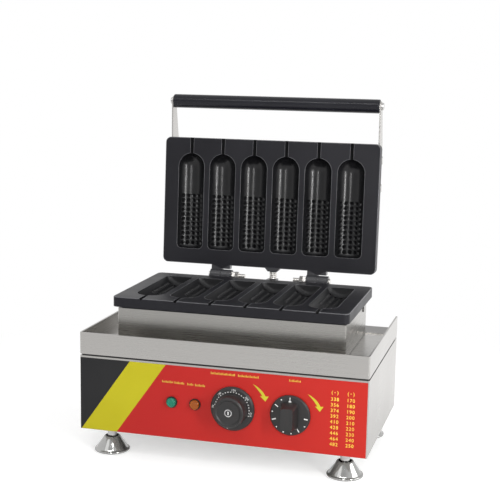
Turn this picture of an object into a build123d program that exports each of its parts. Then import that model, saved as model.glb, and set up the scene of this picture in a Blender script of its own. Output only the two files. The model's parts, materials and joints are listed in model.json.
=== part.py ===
from build123d import *
from math import cos, radians, sin, sqrt
import os

os.makedirs("parts", exist_ok=True)

# Countertop machine with two hinged cast plates that bake six sausages on sticks.
# Lengths are in millimetres, X to the right, Y to the back, Z up, front panel towards -Y.

# Housing
housing_width = 400.0
housing_depth = 243.6
foot_height = 37.9
base_height = 104.0
sheet = 1.2
fold_radius = 2.2
flange = 12.0
fit_gap = 0.3
overrun = 2.0

# Drip tray on top of the housing
seal_gap = 2.3
seal_width = 7.0
seal_inset = 2.5
tray_height = 29.9
tray_depth = 18.8
tray_rim = 2.4
deck_lap = 12.0

# Pedestal that carries the lower plate
pedestal_side_margin = 39.6
pedestal_setback = 41.0
pedestal_rear_margin = 44.2
pedestal_rise = 47.2
pedestal_fold = 10.0
pedestal_screw_inset = 27.7
pedestal_screw_drop = 5.6
pedestal_screw_radius = 2.0
pedestal_screw_length = 7.0

# Cast plates, the same for base and lid
plate_thickness = 13.9
plate_corner = 8.0
plate_edge_radius = 1.0
plate_side_overhang = 4.9
plate_front_overhang = 9.9
plate_rear_overhang = 23.5
plate_gap = 0.6
seat_rise = 3.6
seat_inset = 2.9
seat_front_margin = 11.2
seat_rear_margin = 14.6
heater_pad_rise = 4.0
heater_pad_side_inset = 12.4
heater_pad_end_inset = 13.2
cavity_count = 6
cavity_width = 41.0
cavity_depth = 15.0
cavity_side_margin = 21.8
cavity_front_margin = 23.3
cavity_rear_margin = 22.5
cavity_corner = 7.0
stick_radius = 2.4

# Hinges along the rear edge
open_angle = 93.6
hinge_offset = 14.7
hinge_drop = 0.5
hinge_spacing = 149.2
hinge_shift = 4.8
knuckle_radius = 8.5
knuckle_width = 16.4
knuckle_gap = 0.4
knuckle_web = 10.5
heel_top = 1.0
heel_bottom = 8.0
hinge_pin_radius = 3.0
pin_clearance = 0.08
pin_head_radius = 4.6
pin_head_length = 2.2
hinge_root_width = 25.0
hinge_root_length = 5.5
pin_tail = 20.5
hinge_nut_flats = 11.0
hinge_nut_length = 5.0
second_nut_turn = 30

# Flexible conduit for the lid's wires, between a lug on each plate
conduit_x = 9.0
conduit_radius = 5.6
conduit_bore_radius = 4.0
conduit_rib = 0.7
conduit_rib_count = 4
lug_width = 23.0
lug_tip_width = 14.0
lug_wall = 6.0
lid_lug_length = 5.0
base_lug_drop = 3.0
lug_bore_depth = 7.0
conduit_set_back = 7.7

# Lid cover, arms and grip
cover_height = 28.5
cover_corner = 9.0
cover_edge_radius = 5.0
arm_sheet = 2.0
arm_lift = 0.3
arm_inner_reach = 82.0
arm_root_width = 27.0
arm_tip_radius = 7.5
arm_corner = 5.0
arm_bolt_front_margin = 24.0
arm_bolt_end_margin = 17.0
arm_bolt_height = 14.5
arm_bolt_radius = 3.0
arm_bolt_head_radius = 6.5
arm_bolt_head_height = 3.4
arm_bolt_length = 9.0
arm_nut_flats = 10.0
arm_nut_length = 4.5
grip_reach = 55.0
grip_rise = 18.0
grip_radius = 10.3
grip_bore_radius = 4.4
grip_end_radius = 1.2
grip_rod_radius = 4.0
grip_rod_tail = 2.2
cap_nut_radius = 5.6
cap_nut_length = 3.4
thread_clearance = 0.05
post_side_margin = 7.0
post_end_margin = 20.0
post_radius = 4.0
post_stud_radius = 2.5
post_stud_length = 4.4
post_nut_flats = 8.0
post_nut_length = 5.4

# Heating elements, their clamps and the insulation
element_radius = 4.0
element_bend_radius = 32.0
element_bend_margin = 20.0
element_end_margin = 22.0
clamp_width = 16.0
clamp_thickness = 2.0
clamp_side_margin = 9.0
clamp_screw_radius = 2.5
clamp_screw_bite = 3.0
clamp_head_flats = 8.0
clamp_head_height = 3.0
insulation_side_margin = 17.0
insulation_end_margin = 4.0
insulation_corner = 6.0
lower_insulation_height = 22.0
upper_insulation_height = 5.0

# Front panel sheet and what is mounted in it
panel_sheet = 0.5
panel_side_margin = 1.4
panel_top_margin = 2.6
panel_bottom_margin = 0.6
thermostat_x = 19.3
thermostat_z = 88.3
timer_x = 97.7
timer_z = 87.1
shaft_radius = 3.0
shaft_hole_radius = 5.0
shaft_bite = 6.0
shaft_clearance = 0.06
knob_stand_off = 1.0
thermostat_dial_radius = 30.0
thermostat_dial_height = 4.5
thermostat_dial_bevel = 2.2
thermostat_grip_radius = 21.8
thermostat_face_radius = 20.6
thermostat_knob_height = 23.0
thermostat_dish_radius = 17.0
thermostat_dish_depth = 1.6
thermostat_disc_radius = 5.7
thermostat_disc_height = 1.0
timer_dial_radius = 27.0
timer_dial_height = 4.0
timer_dial_bevel = 1.6
timer_knob_height = 22.0
timer_bar_width = 24.0
timer_bar_height = 37.0
timer_bar_tip_width = 16.0
timer_bar_tip_height = 29.0
timer_bar_corner = 4.0
knob_shaft_depth = 14.0
lamp_z = 88.5
power_lamp_x = -66.3
heat_lamp_x = -33.5
lamp_body_radius = 6.0
lamp_body_length = 26.0
lamp_bezel_radius = 7.8
lamp_bezel_height = 1.8
lamp_bezel_bore_radius = 6.7
lamp_lens_radius = 6.6
lamp_lens_height = 5.2
lamp_lens_seat = 0.8
lamp_nut_flats = 15.0
lamp_nut_length = 3.0
thermostat_body_width = 42.0
thermostat_body_height = 36.0
thermostat_body_depth = 24.0
timer_body_width = 46.0
timer_body_height = 46.0
timer_body_depth = 34.0
body_corner = 4.0
capillary_radius = 1.2
capillary_bend = 9.0
bulb_radius = 3.0
bulb_length = 90.0
bulb_y_offset = 14.0

# Rear cover, bottom plate and electrical fittings
louvre_length = 34.0
louvre_height = 4.0
louvre_pitch = 9.0
louvre_rows = 6
louvre_columns = 2
louvre_column_spacing = 150.0
louvre_rise = 62.0
vent_length = 46.0
vent_width = 4.0
vent_pitch = 12.0
vent_rows = 7
vent_columns = 3
vent_column_spacing = 74.0
screw_radius = 2.0
screw_length = 6.0
screw_head_radius = 3.8
screw_head_height = 2.2
screw_head_taper = 20
rear_screw_side = 6.0
rear_screw_rise = 10.0
bottom_screw_spacing = 60.0
gland_side = 70.0
gland_rise = 26.0
gland_thread_radius = 8.0
gland_bore_radius = 4.2
gland_hex_flats = 22.0
gland_hex_length = 6.0
gland_nose_radius = 9.6
gland_nose_length = 12.0
gland_nose_taper = 6
gland_tail = 10.0
gland_nut_flats = 21.0
gland_nut_length = 5.0
earth_side = 50.0
earth_radius = 3.0
earth_length = 16.0
earth_nut_flats = 10.0
earth_nut_length = 5.0
block_width = 52.0
block_depth = 22.0
block_height = 17.0
block_from_gland = 60.0
block_back = 60.0
block_pole_count = 3
block_pole_radius = 3.0
block_pole_depth = 6.0

# Feet
foot_side_margin = 34.0
foot_end_margin = 33.2
foot_rim_radius = 24.8
foot_rim_height = 3.2
foot_neck_radius = 10.8
foot_neck_height = 21.0
foot_wall = 1.6
foot_neck_bore_radius = 9.2
foot_stud_radius = 5.0
foot_collar_radius = 6.6
foot_stud_rise = 14.0
foot_nut_flats = 17.0
foot_nut_length = 6.0
foot_pad_height = 3.6
foot_pad_proud = 0.6
foot_base_thickness = 5.0

# Sizes and places worked out from the sizes above
pedestal_width = housing_width - 2 * pedestal_side_margin
pedestal_length = housing_depth - pedestal_setback - pedestal_rear_margin
plate_width = pedestal_width + 2 * plate_side_overhang
plate_length = plate_front_overhang + pedestal_length + plate_rear_overhang
seat_width = pedestal_width - 2 * seat_inset
heater_pad_width = pedestal_width - 2 * heater_pad_side_inset
heater_pad_length = pedestal_length - 2 * heater_pad_end_inset
insulation_width = heater_pad_width - 2 * insulation_side_margin
insulation_length = heater_pad_length - 2 * insulation_end_margin
element_bend_x = element_bend_margin + element_bend_radius - heater_pad_width / 2
element_end_x = heater_pad_width / 2 - element_end_margin
post_x = heater_pad_width / 2 - post_side_margin
post_y = heater_pad_length / 2 - post_end_margin
cavity_pitch = (plate_width - 2 * cavity_side_margin - cavity_width) / (cavity_count - 1)
cavity_xs = [(i - (cavity_count - 1) / 2) * cavity_pitch for i in range(cavity_count)]
cover_margin = sheet + fit_gap
cover_width = seat_width + 2 * cover_margin
foot_x = housing_width / 2 - foot_side_margin
foot_y = housing_depth / 2 - foot_end_margin
gland_x = housing_width / 2 - gland_side
earth_x = earth_side - housing_width / 2
block_x = gland_x - block_from_gland

hinge_from_middle = (
    pedestal_setback - housing_depth / 2 - plate_front_overhang + plate_length + hinge_offset
)
lean = open_angle - 90
cover_front_reach = hinge_offset + plate_length - seat_front_margin + cover_margin
cover_back_reach = hinge_drop + plate_gap + plate_thickness + cover_height
rear_reach = (
    hinge_from_middle
    + cover_front_reach * sin(radians(lean))
    + cover_back_reach * cos(radians(lean))
)
front_reach = housing_depth / 2 + panel_sheet + knob_stand_off + thermostat_knob_height
mid_y = (front_reach - rear_reach) / 2
front_y = mid_y - housing_depth / 2
rear_y = mid_y + housing_depth / 2
pedestal_front_y = front_y + pedestal_setback
pedestal_rear_y = pedestal_front_y + pedestal_length
pedestal_mid_y = (pedestal_front_y + pedestal_rear_y) / 2
plate_front_y = pedestal_front_y - plate_front_overhang
plate_rear_y = plate_front_y + plate_length
plate_mid_y = (plate_front_y + plate_rear_y) / 2
hinge_y = plate_rear_y + hinge_offset
seat_front_y = plate_front_y + seat_front_margin
seat_rear_y = plate_rear_y - seat_rear_margin
seat_mid_y = (seat_front_y + seat_rear_y) / 2
panel_y = front_y - panel_sheet

base_bottom_z = foot_height
base_top_z = base_bottom_z + base_height
tray_bottom_z = base_top_z + seal_gap
tray_rim_z = tray_bottom_z + tray_height
tray_floor_z = tray_rim_z - tray_depth
deck_z = tray_floor_z + sheet
pedestal_bottom_z = tray_floor_z - 2 * sheet
seat_z = tray_floor_z + pedestal_rise
plate_face_z = seat_z + seat_rise + plate_thickness
hinge_z = plate_face_z - hinge_drop
lid_face_z = plate_face_z + plate_gap
hinge_axis = Axis((0, hinge_y, hinge_z), (1, 0, 0))
shell_rear_y = rear_y - sheet
shell_mid_y = (front_y + shell_rear_y) / 2
shell_depth = shell_rear_y - front_y
inner_half = housing_width / 2 - sheet
screw_half = housing_width / 2 - rear_screw_side
bottom_screw_x = inner_half - flange / 2
rear_screw_zs = (base_bottom_z + rear_screw_rise, base_top_z - rear_screw_rise)
rear_screw_places = [(x, z) for x in (-screw_half, screw_half) for z in rear_screw_zs]
lower_pad_z = seat_z - heater_pad_rise
upper_pad_z = lid_face_z + plate_thickness + seat_rise + heater_pad_rise
cover_bottom_z = lid_face_z + plate_thickness
cover_top_z = cover_bottom_z + cover_height
cover_front_y = seat_front_y - cover_margin
cover_rear_y = seat_rear_y + cover_margin
grip_y = plate_front_y - grip_reach
grip_z = lid_face_z + grip_rise

# The cavity is a lens: its turning axis lies above the cooking face by lens_rise.
lens_radius = (cavity_width**2 / 4 + cavity_depth**2) / (2 * cavity_depth)
lens_rise = lens_radius - cavity_depth


def facing_up(z, x=0, y=mid_y):
    return Plane(origin=(x, y, z))


def facing_front(y, x=0, z=0):
    return Plane(origin=(x, y, z), x_dir=(1, 0, 0), z_dir=(0, -1, 0))


def facing_back(y, x=0, z=0):
    return Plane(origin=(x, y, z), x_dir=(-1, 0, 0), z_dir=(0, 1, 0))


def facing_right(x, y=0, z=0):
    return Plane(origin=(x, y, z), x_dir=(0, 1, 0), z_dir=(1, 0, 0))


def block(x_span, y_span, z_span, mode=Mode.ADD):
    """Adds a box between two X, two Y and two Z values to the part being built."""
    sizes = [high - low for low, high in (x_span, y_span, z_span)]
    with Locations((x_span[0], y_span[0], z_span[0])):
        Box(*sizes, align=(Align.MIN, Align.MIN, Align.MIN), mode=mode)


def both_ways(half):
    return (-half, half)


def hexagon(flats, turn=0):
    """Adds a nut's outline, flats apart, to the sketch being drawn."""
    RegularPolygon(flats / 2, 6, major_radius=False, rotation=turn)


# Housing shell: front, sides and a fold along every edge, open at the back
with BuildPart() as base_shell:
    with BuildSketch(facing_up(base_bottom_z, y=shell_mid_y)):
        Rectangle(housing_width, shell_depth)
    extrude(amount=base_height)
    fillet(base_shell.edges().filter_by(Axis.Z).group_by(Axis.Y)[0], fold_radius)
    offset(amount=-sheet, openings=base_shell.faces().sort_by(Axis.Y)[-1])
    for side in (-1, 1):
        fold = sorted((side * inner_half, side * (inner_half - flange)))
        block(fold, (shell_rear_y - sheet, shell_rear_y), (base_bottom_z, base_top_z))
    with BuildSketch(facing_up(base_bottom_z - overrun, y=shell_mid_y)):
        Rectangle(housing_width - 2 * flange, shell_depth - 2 * flange)
    extrude(amount=base_height + 2 * overrun, mode=Mode.SUBTRACT)
    with BuildSketch(facing_up(base_bottom_z - overrun)):
        with GridLocations(2 * bottom_screw_x, bottom_screw_spacing, 2, 2):
            Circle(screw_radius + fit_gap)
    extrude(amount=sheet + 2 * overrun, mode=Mode.SUBTRACT)
    with BuildSketch(facing_back(front_y - overrun)):
        with Locations((-thermostat_x, thermostat_z), (-timer_x, timer_z)):
            Circle(shaft_hole_radius)
        with Locations((-power_lamp_x, lamp_z), (-heat_lamp_x, lamp_z)):
            Circle(lamp_body_radius + fit_gap)
    extrude(amount=sheet + 2 * overrun, mode=Mode.SUBTRACT)
    with BuildSketch(facing_back(shell_rear_y - sheet - overrun)):
        with Locations(rear_screw_places):
            Circle(screw_radius + fit_gap)
    extrude(amount=sheet + 2 * overrun, mode=Mode.SUBTRACT)

# Bottom plate, lying on the shell's lower folds, with rows of vent slots
bottom_plate_z = base_bottom_z + sheet
with BuildPart() as bottom_plate:
    with BuildSketch(facing_up(bottom_plate_z, y=shell_mid_y)):
        Rectangle(2 * (inner_half - fit_gap), shell_depth - 2 * (sheet + fit_gap))
        with GridLocations(vent_column_spacing, vent_pitch, vent_columns, vent_rows):
            SlotOverall(vent_length, vent_width, mode=Mode.SUBTRACT)
    extrude(amount=sheet)
    with BuildSketch(facing_up(bottom_plate_z - overrun)):
        with GridLocations(2 * foot_x, 2 * foot_y, 2, 2):
            Circle(foot_stud_radius + fit_gap)
        with GridLocations(2 * bottom_screw_x, bottom_screw_spacing, 2, 2):
            Circle(screw_radius + fit_gap)
    extrude(amount=sheet + 2 * overrun, mode=Mode.SUBTRACT)

# Screws from below that hold the bottom plate to the shell's folds
with BuildPart() as bottom_screws:
    with BuildSketch(facing_up(base_bottom_z)):
        with GridLocations(2 * bottom_screw_x, bottom_screw_spacing, 2, 2):
            Circle(screw_radius)
    extrude(amount=screw_length)
    with BuildSketch(facing_up(base_bottom_z)):
        with GridLocations(2 * bottom_screw_x, bottom_screw_spacing, 2, 2):
            Circle(screw_head_radius)
    extrude(amount=-screw_head_height, taper=screw_head_taper)

# Rear cover: one sheet with louvre slots, folded forward over the tray floor as a deck
deck_half = housing_width / 2 - tray_rim - fit_gap
deck_front_y = pedestal_rear_y + fit_gap
louvre_z = base_bottom_z + louvre_rise
gland_z = base_bottom_z + gland_rise
with BuildPart() as rear_cover:
    block(both_ways(housing_width / 2), (shell_rear_y, rear_y), (base_bottom_z, base_top_z))
    neck_half = housing_width / 2 - flange - fit_gap
    block(both_ways(neck_half), (shell_rear_y, rear_y), (base_top_z, tray_floor_z))
    block(both_ways(deck_half), (deck_front_y, rear_y), (tray_floor_z, deck_z))
    with BuildSketch(facing_back(shell_rear_y - overrun)):
        with Locations((0, louvre_z)):
            with GridLocations(louvre_column_spacing, louvre_pitch, louvre_columns, louvre_rows):
                SlotOverall(louvre_length, louvre_height)
        with Locations((-gland_x, gland_z)):
            Circle(gland_thread_radius + fit_gap)
        with Locations((-earth_x, gland_z)):
            Circle(earth_radius + fit_gap)
        with Locations(rear_screw_places):
            Circle(screw_radius + fit_gap)
    extrude(amount=sheet + 2 * overrun, mode=Mode.SUBTRACT)

# Screws with domed heads that hold the rear cover
with BuildPart() as rear_cover_screws:
    with BuildSketch(facing_back(rear_y - screw_length)):
        with Locations(rear_screw_places):
            Circle(screw_radius)
    extrude(amount=screw_length)
    with BuildSketch(facing_back(rear_y)):
        with Locations(rear_screw_places):
            Circle(screw_head_radius)
    extrude(amount=screw_head_height, taper=screw_head_taper)

# Drip tray: folded walls on three sides, a skirt that hides the seal, a hole for the pedestal
tray_skirt_half = housing_width / 2 - sheet
with BuildPart() as drip_tray:
    with BuildSketch(facing_up(tray_bottom_z)):
        Rectangle(housing_width, housing_depth)
    extrude(amount=tray_height)
    fillet(drip_tray.edges().filter_by(Axis.Z).group_by(Axis.Y)[0], fold_radius)
    inside = both_ways(housing_width / 2 - tray_rim)
    trough = (front_y + tray_rim, rear_y + overrun)
    block(inside, trough, (tray_floor_z, tray_rim_z + overrun), Mode.SUBTRACT)
    under = (front_y + sheet, rear_y + overrun)
    floor_bottom_z = tray_floor_z - sheet
    block(both_ways(tray_skirt_half), under, (tray_bottom_z + sheet, floor_bottom_z), Mode.SUBTRACT)
    window = (front_y + flange, rear_y + overrun)
    window_half = housing_width / 2 - flange
    block(both_ways(window_half), window, (tray_bottom_z - overrun, floor_bottom_z), Mode.SUBTRACT)
    floor_end = (pedestal_rear_y + deck_lap, rear_y + overrun)
    block(inside, floor_end, (floor_bottom_z - overrun, tray_rim_z), Mode.SUBTRACT)
    with BuildSketch(facing_up(floor_bottom_z - overrun, y=pedestal_mid_y)):
        Rectangle(pedestal_width + 2 * fit_gap, pedestal_length + 2 * fit_gap)
    extrude(amount=sheet + 2 * overrun, mode=Mode.SUBTRACT)

# Dark seal between the housing and the tray skirt, open at the back
seal_outer_half = housing_width / 2 - seal_inset
with BuildPart() as tray_seal:
    with BuildSketch(facing_up(base_top_z, y=(front_y + shell_rear_y) / 2)):
        Rectangle(2 * seal_outer_half, shell_depth - 2 * seal_inset)
        Rectangle(2 * (seal_outer_half - seal_width), shell_depth, mode=Mode.SUBTRACT)
    extrude(amount=seal_gap)
    front_bar = (front_y + seal_inset, front_y + seal_inset + seal_width)
    block(both_ways(seal_outer_half), front_bar, (base_top_z, tray_bottom_z))

# Pedestal: a folded box open above and below, flanged outward under the tray floor
with BuildPart() as pedestal:
    with BuildSketch(facing_up(pedestal_bottom_z + sheet / 2, y=pedestal_mid_y)):
        Rectangle(pedestal_width, pedestal_length)
    extrude(amount=seat_z - pedestal_bottom_z - sheet / 2)
    fillet(pedestal.edges().filter_by(Axis.Z), fold_radius)
    with BuildSketch(facing_up(pedestal_bottom_z, y=pedestal_mid_y)):
        Rectangle(pedestal_width + 2 * flange, pedestal_length + 2 * flange)
    extrude(amount=sheet)
    with BuildSketch(facing_up(pedestal_bottom_z - overrun, y=pedestal_mid_y)):
        Rectangle(pedestal_width - 2 * sheet, pedestal_length - 2 * sheet)
    extrude(amount=seat_z - sheet - pedestal_bottom_z + overrun, mode=Mode.SUBTRACT)
    with BuildSketch(facing_up(seat_z - sheet - overrun, y=pedestal_mid_y)):
        Rectangle(pedestal_width - 2 * pedestal_fold, pedestal_length - 2 * pedestal_fold)
    extrude(amount=sheet + 2 * overrun, mode=Mode.SUBTRACT)
    with BuildSketch(facing_right(-pedestal_width / 2 - overrun)):
        with Locations((pedestal_rear_y - pedestal_screw_inset, seat_z - pedestal_screw_drop)):
            Circle(pedestal_screw_radius + fit_gap)
    extrude(amount=pedestal_width + 2 * overrun, mode=Mode.SUBTRACT)

# One dark screw high on each side of the pedestal, into a tapped block behind the sheet
with BuildPart() as pedestal_screws:
    screw_y = pedestal_rear_y - pedestal_screw_inset
    screw_z = seat_z - pedestal_screw_drop
    for side in (-1, 1):
        wall_x = side * pedestal_width / 2
        with BuildSketch(facing_right(wall_x)):
            with Locations((screw_y, screw_z)):
                Circle(screw_head_radius)
        extrude(amount=side * screw_head_height / 2)
        with BuildSketch(facing_right(wall_x)):
            with Locations((screw_y, screw_z)):
                Circle(pedestal_screw_radius)
        extrude(amount=-side * pedestal_screw_length)

# Heat shield that closes the pedestal from below
shield_z = pedestal_bottom_z - sheet
shield_width = pedestal_width + 2 * flange
shield_length = pedestal_length + 2 * flange
lead_hole_x = pedestal_width / 2 - sheet - flange
with BuildPart() as heat_shield:
    with BuildSketch(facing_up(shield_z, y=pedestal_mid_y)):
        Rectangle(shield_width, shield_length)
        with GridLocations(2 * lead_hole_x, 2 * element_bend_radius, 2, 2):
            Circle(shaft_hole_radius, mode=Mode.SUBTRACT)
    extrude(amount=sheet)

with BuildPart() as lower_insulation:
    with BuildSketch(facing_up(pedestal_bottom_z, y=pedestal_mid_y)):
        RectangleRounded(insulation_width, insulation_length, insulation_corner)
    extrude(amount=lower_insulation_height)


def shut(y, z):
    """Where a point of the open lid, measured from the hinge axis, lies with the lid shut."""
    turn = radians(open_angle)
    shut_y = hinge_y + y * cos(turn) - z * sin(turn)
    shut_z = hinge_z + y * sin(turn) + z * cos(turn)
    return (shut_y, shut_z)


def cast_plate(face_z, side, knuckle_side, lug_face_z, lug_tip_y, lug_bore):
    """Cooking plate with its face at face_z; side is -1 for metal below it, 1 for above."""
    back_z = face_z + side * plate_thickness
    rim_rear = plate_rear_y
    with BuildPart() as plate:
        with BuildSketch(facing_up(face_z, y=plate_mid_y)):
            RectangleRounded(plate_width, plate_length, plate_corner)
        extrude(amount=side * plate_thickness)
        rim_edges = plate.edges().group_by(Axis.Z)[-1 if side < 0 else 0]
        fillet(rim_edges, plate_edge_radius)
        with BuildSketch(facing_up(back_z, y=seat_mid_y)):
            RectangleRounded(seat_width, seat_rear_y - seat_front_y, plate_corner)
        extrude(amount=side * seat_rise)
        with BuildSketch(facing_up(back_z + side * seat_rise, y=pedestal_mid_y)):
            RectangleRounded(heater_pad_width, heater_pad_length, plate_corner)
        extrude(amount=side * heater_pad_rise)

        # Knuckles: a round boss on the hinge axis, a web to the plate and, on the lid, a stop heel
        # and a wider root
        heel_y = fit_gap - hinge_offset
        for hinge_side in (-1, 1):
            joint_x = hinge_shift + hinge_side * hinge_spacing / 2
            near_x = joint_x + knuckle_side * knuckle_gap / 2
            with BuildSketch(facing_right(near_x)):
                with Locations((hinge_y, hinge_z)):
                    Circle(knuckle_radius)
                with BuildLine():
                    Polyline(
                        (rim_rear - overrun, face_z),
                        (hinge_y, face_z),
                        (hinge_y, hinge_z + side * knuckle_radius),
                        (rim_rear - overrun, face_z + side * knuckle_web),
                        close=True,
                    )
                make_face()
                if side > 0:
                    with BuildLine():
                        Polyline(
                            shut(0, 0),
                            shut(heel_y, -heel_top),
                            shut(heel_y, -heel_bottom),
                            shut(0, -knuckle_radius),
                            close=True,
                        )
                    make_face()
                with Locations((hinge_y, hinge_z)):
                    Circle(hinge_pin_radius + pin_clearance, mode=Mode.SUBTRACT)
            extrude(amount=knuckle_side * knuckle_width)
            if side > 0:
                root_x = (joint_x - hinge_root_width / 2, joint_x + hinge_root_width / 2)
                root_y = (rim_rear - overrun, rim_rear + hinge_root_length)
                block(root_x, root_y, (face_z, face_z + knuckle_web))

        # Lug that holds one end of the wire conduit
        with BuildSketch(facing_up(lug_face_z, y=0)):
            with BuildLine():
                Polyline(
                    (conduit_x - lug_width / 2, rim_rear - overrun),
                    (conduit_x + lug_width / 2, rim_rear - overrun),
                    (conduit_x + lug_width / 2, rim_rear),
                    (conduit_x + lug_tip_width / 2, lug_tip_y),
                    (conduit_x - lug_tip_width / 2, lug_tip_y),
                    (conduit_x - lug_width / 2, rim_rear),
                    close=True,
                )
            make_face()
        extrude(amount=back_z - lug_face_z)
        with BuildSketch(lug_bore):
            Circle(conduit_bore_radius)
        extrude(amount=-lug_bore_depth, mode=Mode.SUBTRACT)

        # Cavities with a round end towards the grip and a steep end towards the hinge
        axis_z = face_z - side * lens_rise
        front_end_y = plate_front_y + cavity_front_margin - (lens_radius - cavity_width / 2)
        rear_end_y = plate_rear_y - cavity_rear_margin
        for x in cavity_xs:
            with BuildSketch(Plane(origin=(x, 0, axis_z))) as profile:
                with BuildLine():
                    Line((0, front_end_y), (0, rear_end_y))
                    Line((0, rear_end_y), (lens_radius, rear_end_y))
                    side_line = Line((lens_radius, rear_end_y), (lens_radius, front_end_y + lens_radius))
                    RadiusArc(side_line @ 1, (0, front_end_y), lens_radius)
                make_face()
                fillet(profile.vertices().group_by(Axis.Y)[-1].sort_by(Axis.X)[-1], cavity_corner)
            revolve(axis=Axis((x, 0, axis_z), (0, 1, 0)), mode=Mode.SUBTRACT)
        with BuildSketch(facing_front(plate_front_y - overrun)):
            with Locations([(x, face_z) for x in cavity_xs]):
                Circle(stick_radius)
        extrude(amount=-(overrun + cavity_front_margin + cavity_width / 4), mode=Mode.SUBTRACT)
        with BuildSketch(facing_up(back_z + side * (seat_rise + heater_pad_rise), y=pedestal_mid_y)):
            with Locations((-cavity_pitch, 0), (cavity_pitch, 0)):
                Circle(clamp_screw_radius + thread_clearance)
        extrude(amount=-side * clamp_screw_bite, mode=Mode.SUBTRACT)
    return plate


# The conduit stands upright between the lugs while the lid is open.
lug_reach = hinge_offset - lid_lug_length
lug_height = (conduit_set_back - lug_reach * sin(radians(lean))) / cos(radians(lean))
base_lug_z = plate_face_z - base_lug_drop
conduit_y = hinge_y + conduit_set_back
lower_plate = cast_plate(
    plate_face_z,
    -1,
    1,
    base_lug_z,
    conduit_y + lug_wall,
    facing_up(base_lug_z, x=conduit_x, y=conduit_y),
)
upper_plate = cast_plate(
    lid_face_z,
    1,
    -1,
    lid_face_z,
    plate_rear_y + lid_lug_length,
    facing_back(plate_rear_y + lid_lug_length, x=conduit_x, z=hinge_z + lug_height),
)

# Ribbed conduit, bored through, from the lower lug up to just under the lid's lug
conduit_top_z = (
    hinge_z
    + lug_reach * cos(radians(lean))
    - (lug_height + conduit_radius) * sin(radians(lean))
    - fit_gap
)
rib_step = (conduit_top_z - base_lug_z) / (2 * conduit_rib_count)
with BuildPart() as wire_conduit:
    with BuildSketch(facing_front(conduit_y, x=conduit_x, z=base_lug_z)):
        with BuildLine():
            outline = [(conduit_bore_radius, 0)]
            for step in range(2 * conduit_rib_count + 1):
                rib_radius = conduit_radius if step % 2 else conduit_radius - conduit_rib
                outline.append((rib_radius, step * rib_step))
            outline.append((conduit_bore_radius, conduit_top_z - base_lug_z))
            Polyline(outline, close=True)
        make_face()
    revolve(axis=Axis((conduit_x, conduit_y, base_lug_z), (0, 0, 1)))


def heater_set(pad_z, side):
    """Hairpin element on a heater pad, its two clamp bars and their screws."""
    tube_z = pad_z + side * element_radius
    bar_z = pad_z + side * 2 * element_radius
    bar_length = 2 * (element_bend_radius + element_radius + clamp_side_margin)
    with BuildPart() as element:
        with BuildLine(facing_up(tube_z, y=pedestal_mid_y)):
            front_run = Line(
                (element_end_x, -element_bend_radius), (element_bend_x, -element_bend_radius)
            )
            bend = CenterArc((element_bend_x, 0), element_bend_radius, 270, -180)
            Line(bend @ 1, (element_end_x, element_bend_radius))
        with BuildSketch(Plane(origin=front_run @ 0, z_dir=front_run % 0)):
            Circle(element_radius)
        sweep()
    with BuildPart() as bars:
        with BuildSketch(facing_up(bar_z, y=pedestal_mid_y)):
            with Locations((-cavity_pitch, 0), (cavity_pitch, 0)):
                Rectangle(clamp_width, bar_length)
                Circle(clamp_screw_radius + fit_gap, mode=Mode.SUBTRACT)
        extrude(amount=side * clamp_thickness)
    with BuildPart() as screws:
        with BuildSketch(facing_up(bar_z + side * clamp_thickness, y=pedestal_mid_y)):
            with Locations((-cavity_pitch, 0), (cavity_pitch, 0)):
                hexagon(clamp_head_flats)
        extrude(amount=side * clamp_head_height)
        with BuildSketch(facing_up(bar_z + side * clamp_thickness, y=pedestal_mid_y)):
            with Locations((-cavity_pitch, 0), (cavity_pitch, 0)):
                Circle(clamp_screw_radius)
        extrude(amount=-side * (clamp_thickness + 2 * element_radius + clamp_screw_bite))
    return element, bars, screws


lower_element, lower_clamp_bars, lower_clamp_screws = heater_set(lower_pad_z, -1)
upper_element, upper_clamp_bars, upper_clamp_screws = heater_set(upper_pad_z, 1)

# Sensing bulb of the thermostat under the lower plate, with its fine tube to the thermostat
inside_y = front_y + sheet
bulb_y = pedestal_mid_y + bulb_y_offset
bulb_z = lower_pad_z - bulb_radius
bulb_end_x = bulb_length / 2
tube_drop_y = pedestal_mid_y + element_bend_radius
thermostat_rear_y = inside_y + thermostat_body_depth
with BuildPart() as thermostat_bulb:
    with BuildSketch(facing_right(-bulb_end_x)):
        with Locations((bulb_y, bulb_z)):
            Circle(bulb_radius)
    extrude(amount=bulb_length)
    with BuildLine() as tube_route:
        FilletPolyline(
            (bulb_end_x, bulb_y, bulb_z),
            (lead_hole_x, bulb_y, bulb_z),
            (lead_hole_x, tube_drop_y, bulb_z - bulb_y_offset),
            (lead_hole_x, tube_drop_y, base_top_z - bulb_y_offset),
            (thermostat_x, thermostat_rear_y + thermostat_body_depth, thermostat_z),
            (thermostat_x, thermostat_rear_y, thermostat_z),
            radius=capillary_bend,
        )
    with BuildSketch(Plane(origin=tube_route.line @ 0, z_dir=tube_route.line % 0)):
        Circle(capillary_radius)
    sweep()

# Hinge pins: headed outside, two nuts and a bare tail on the side towards the middle
pin_side_gap = knuckle_gap / 2
inner_knuckle_x = hinge_spacing / 2 - pin_side_gap - knuckle_width
outer_knuckle_x = hinge_spacing / 2 + pin_side_gap + knuckle_width
with BuildPart() as hinge_pins:
    for hinge_side in (-1, 1):
        with BuildSketch(facing_right(hinge_shift + hinge_side * (outer_knuckle_x + fit_gap))):
            with Locations((hinge_y, hinge_z)):
                Circle(pin_head_radius)
        extrude(amount=hinge_side * pin_head_length)
        with BuildSketch(facing_right(hinge_shift + hinge_side * (inner_knuckle_x - pin_tail))):
            with Locations((hinge_y, hinge_z)):
                Circle(hinge_pin_radius)
        extrude(amount=hinge_side * (outer_knuckle_x + fit_gap - inner_knuckle_x + pin_tail))

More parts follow.
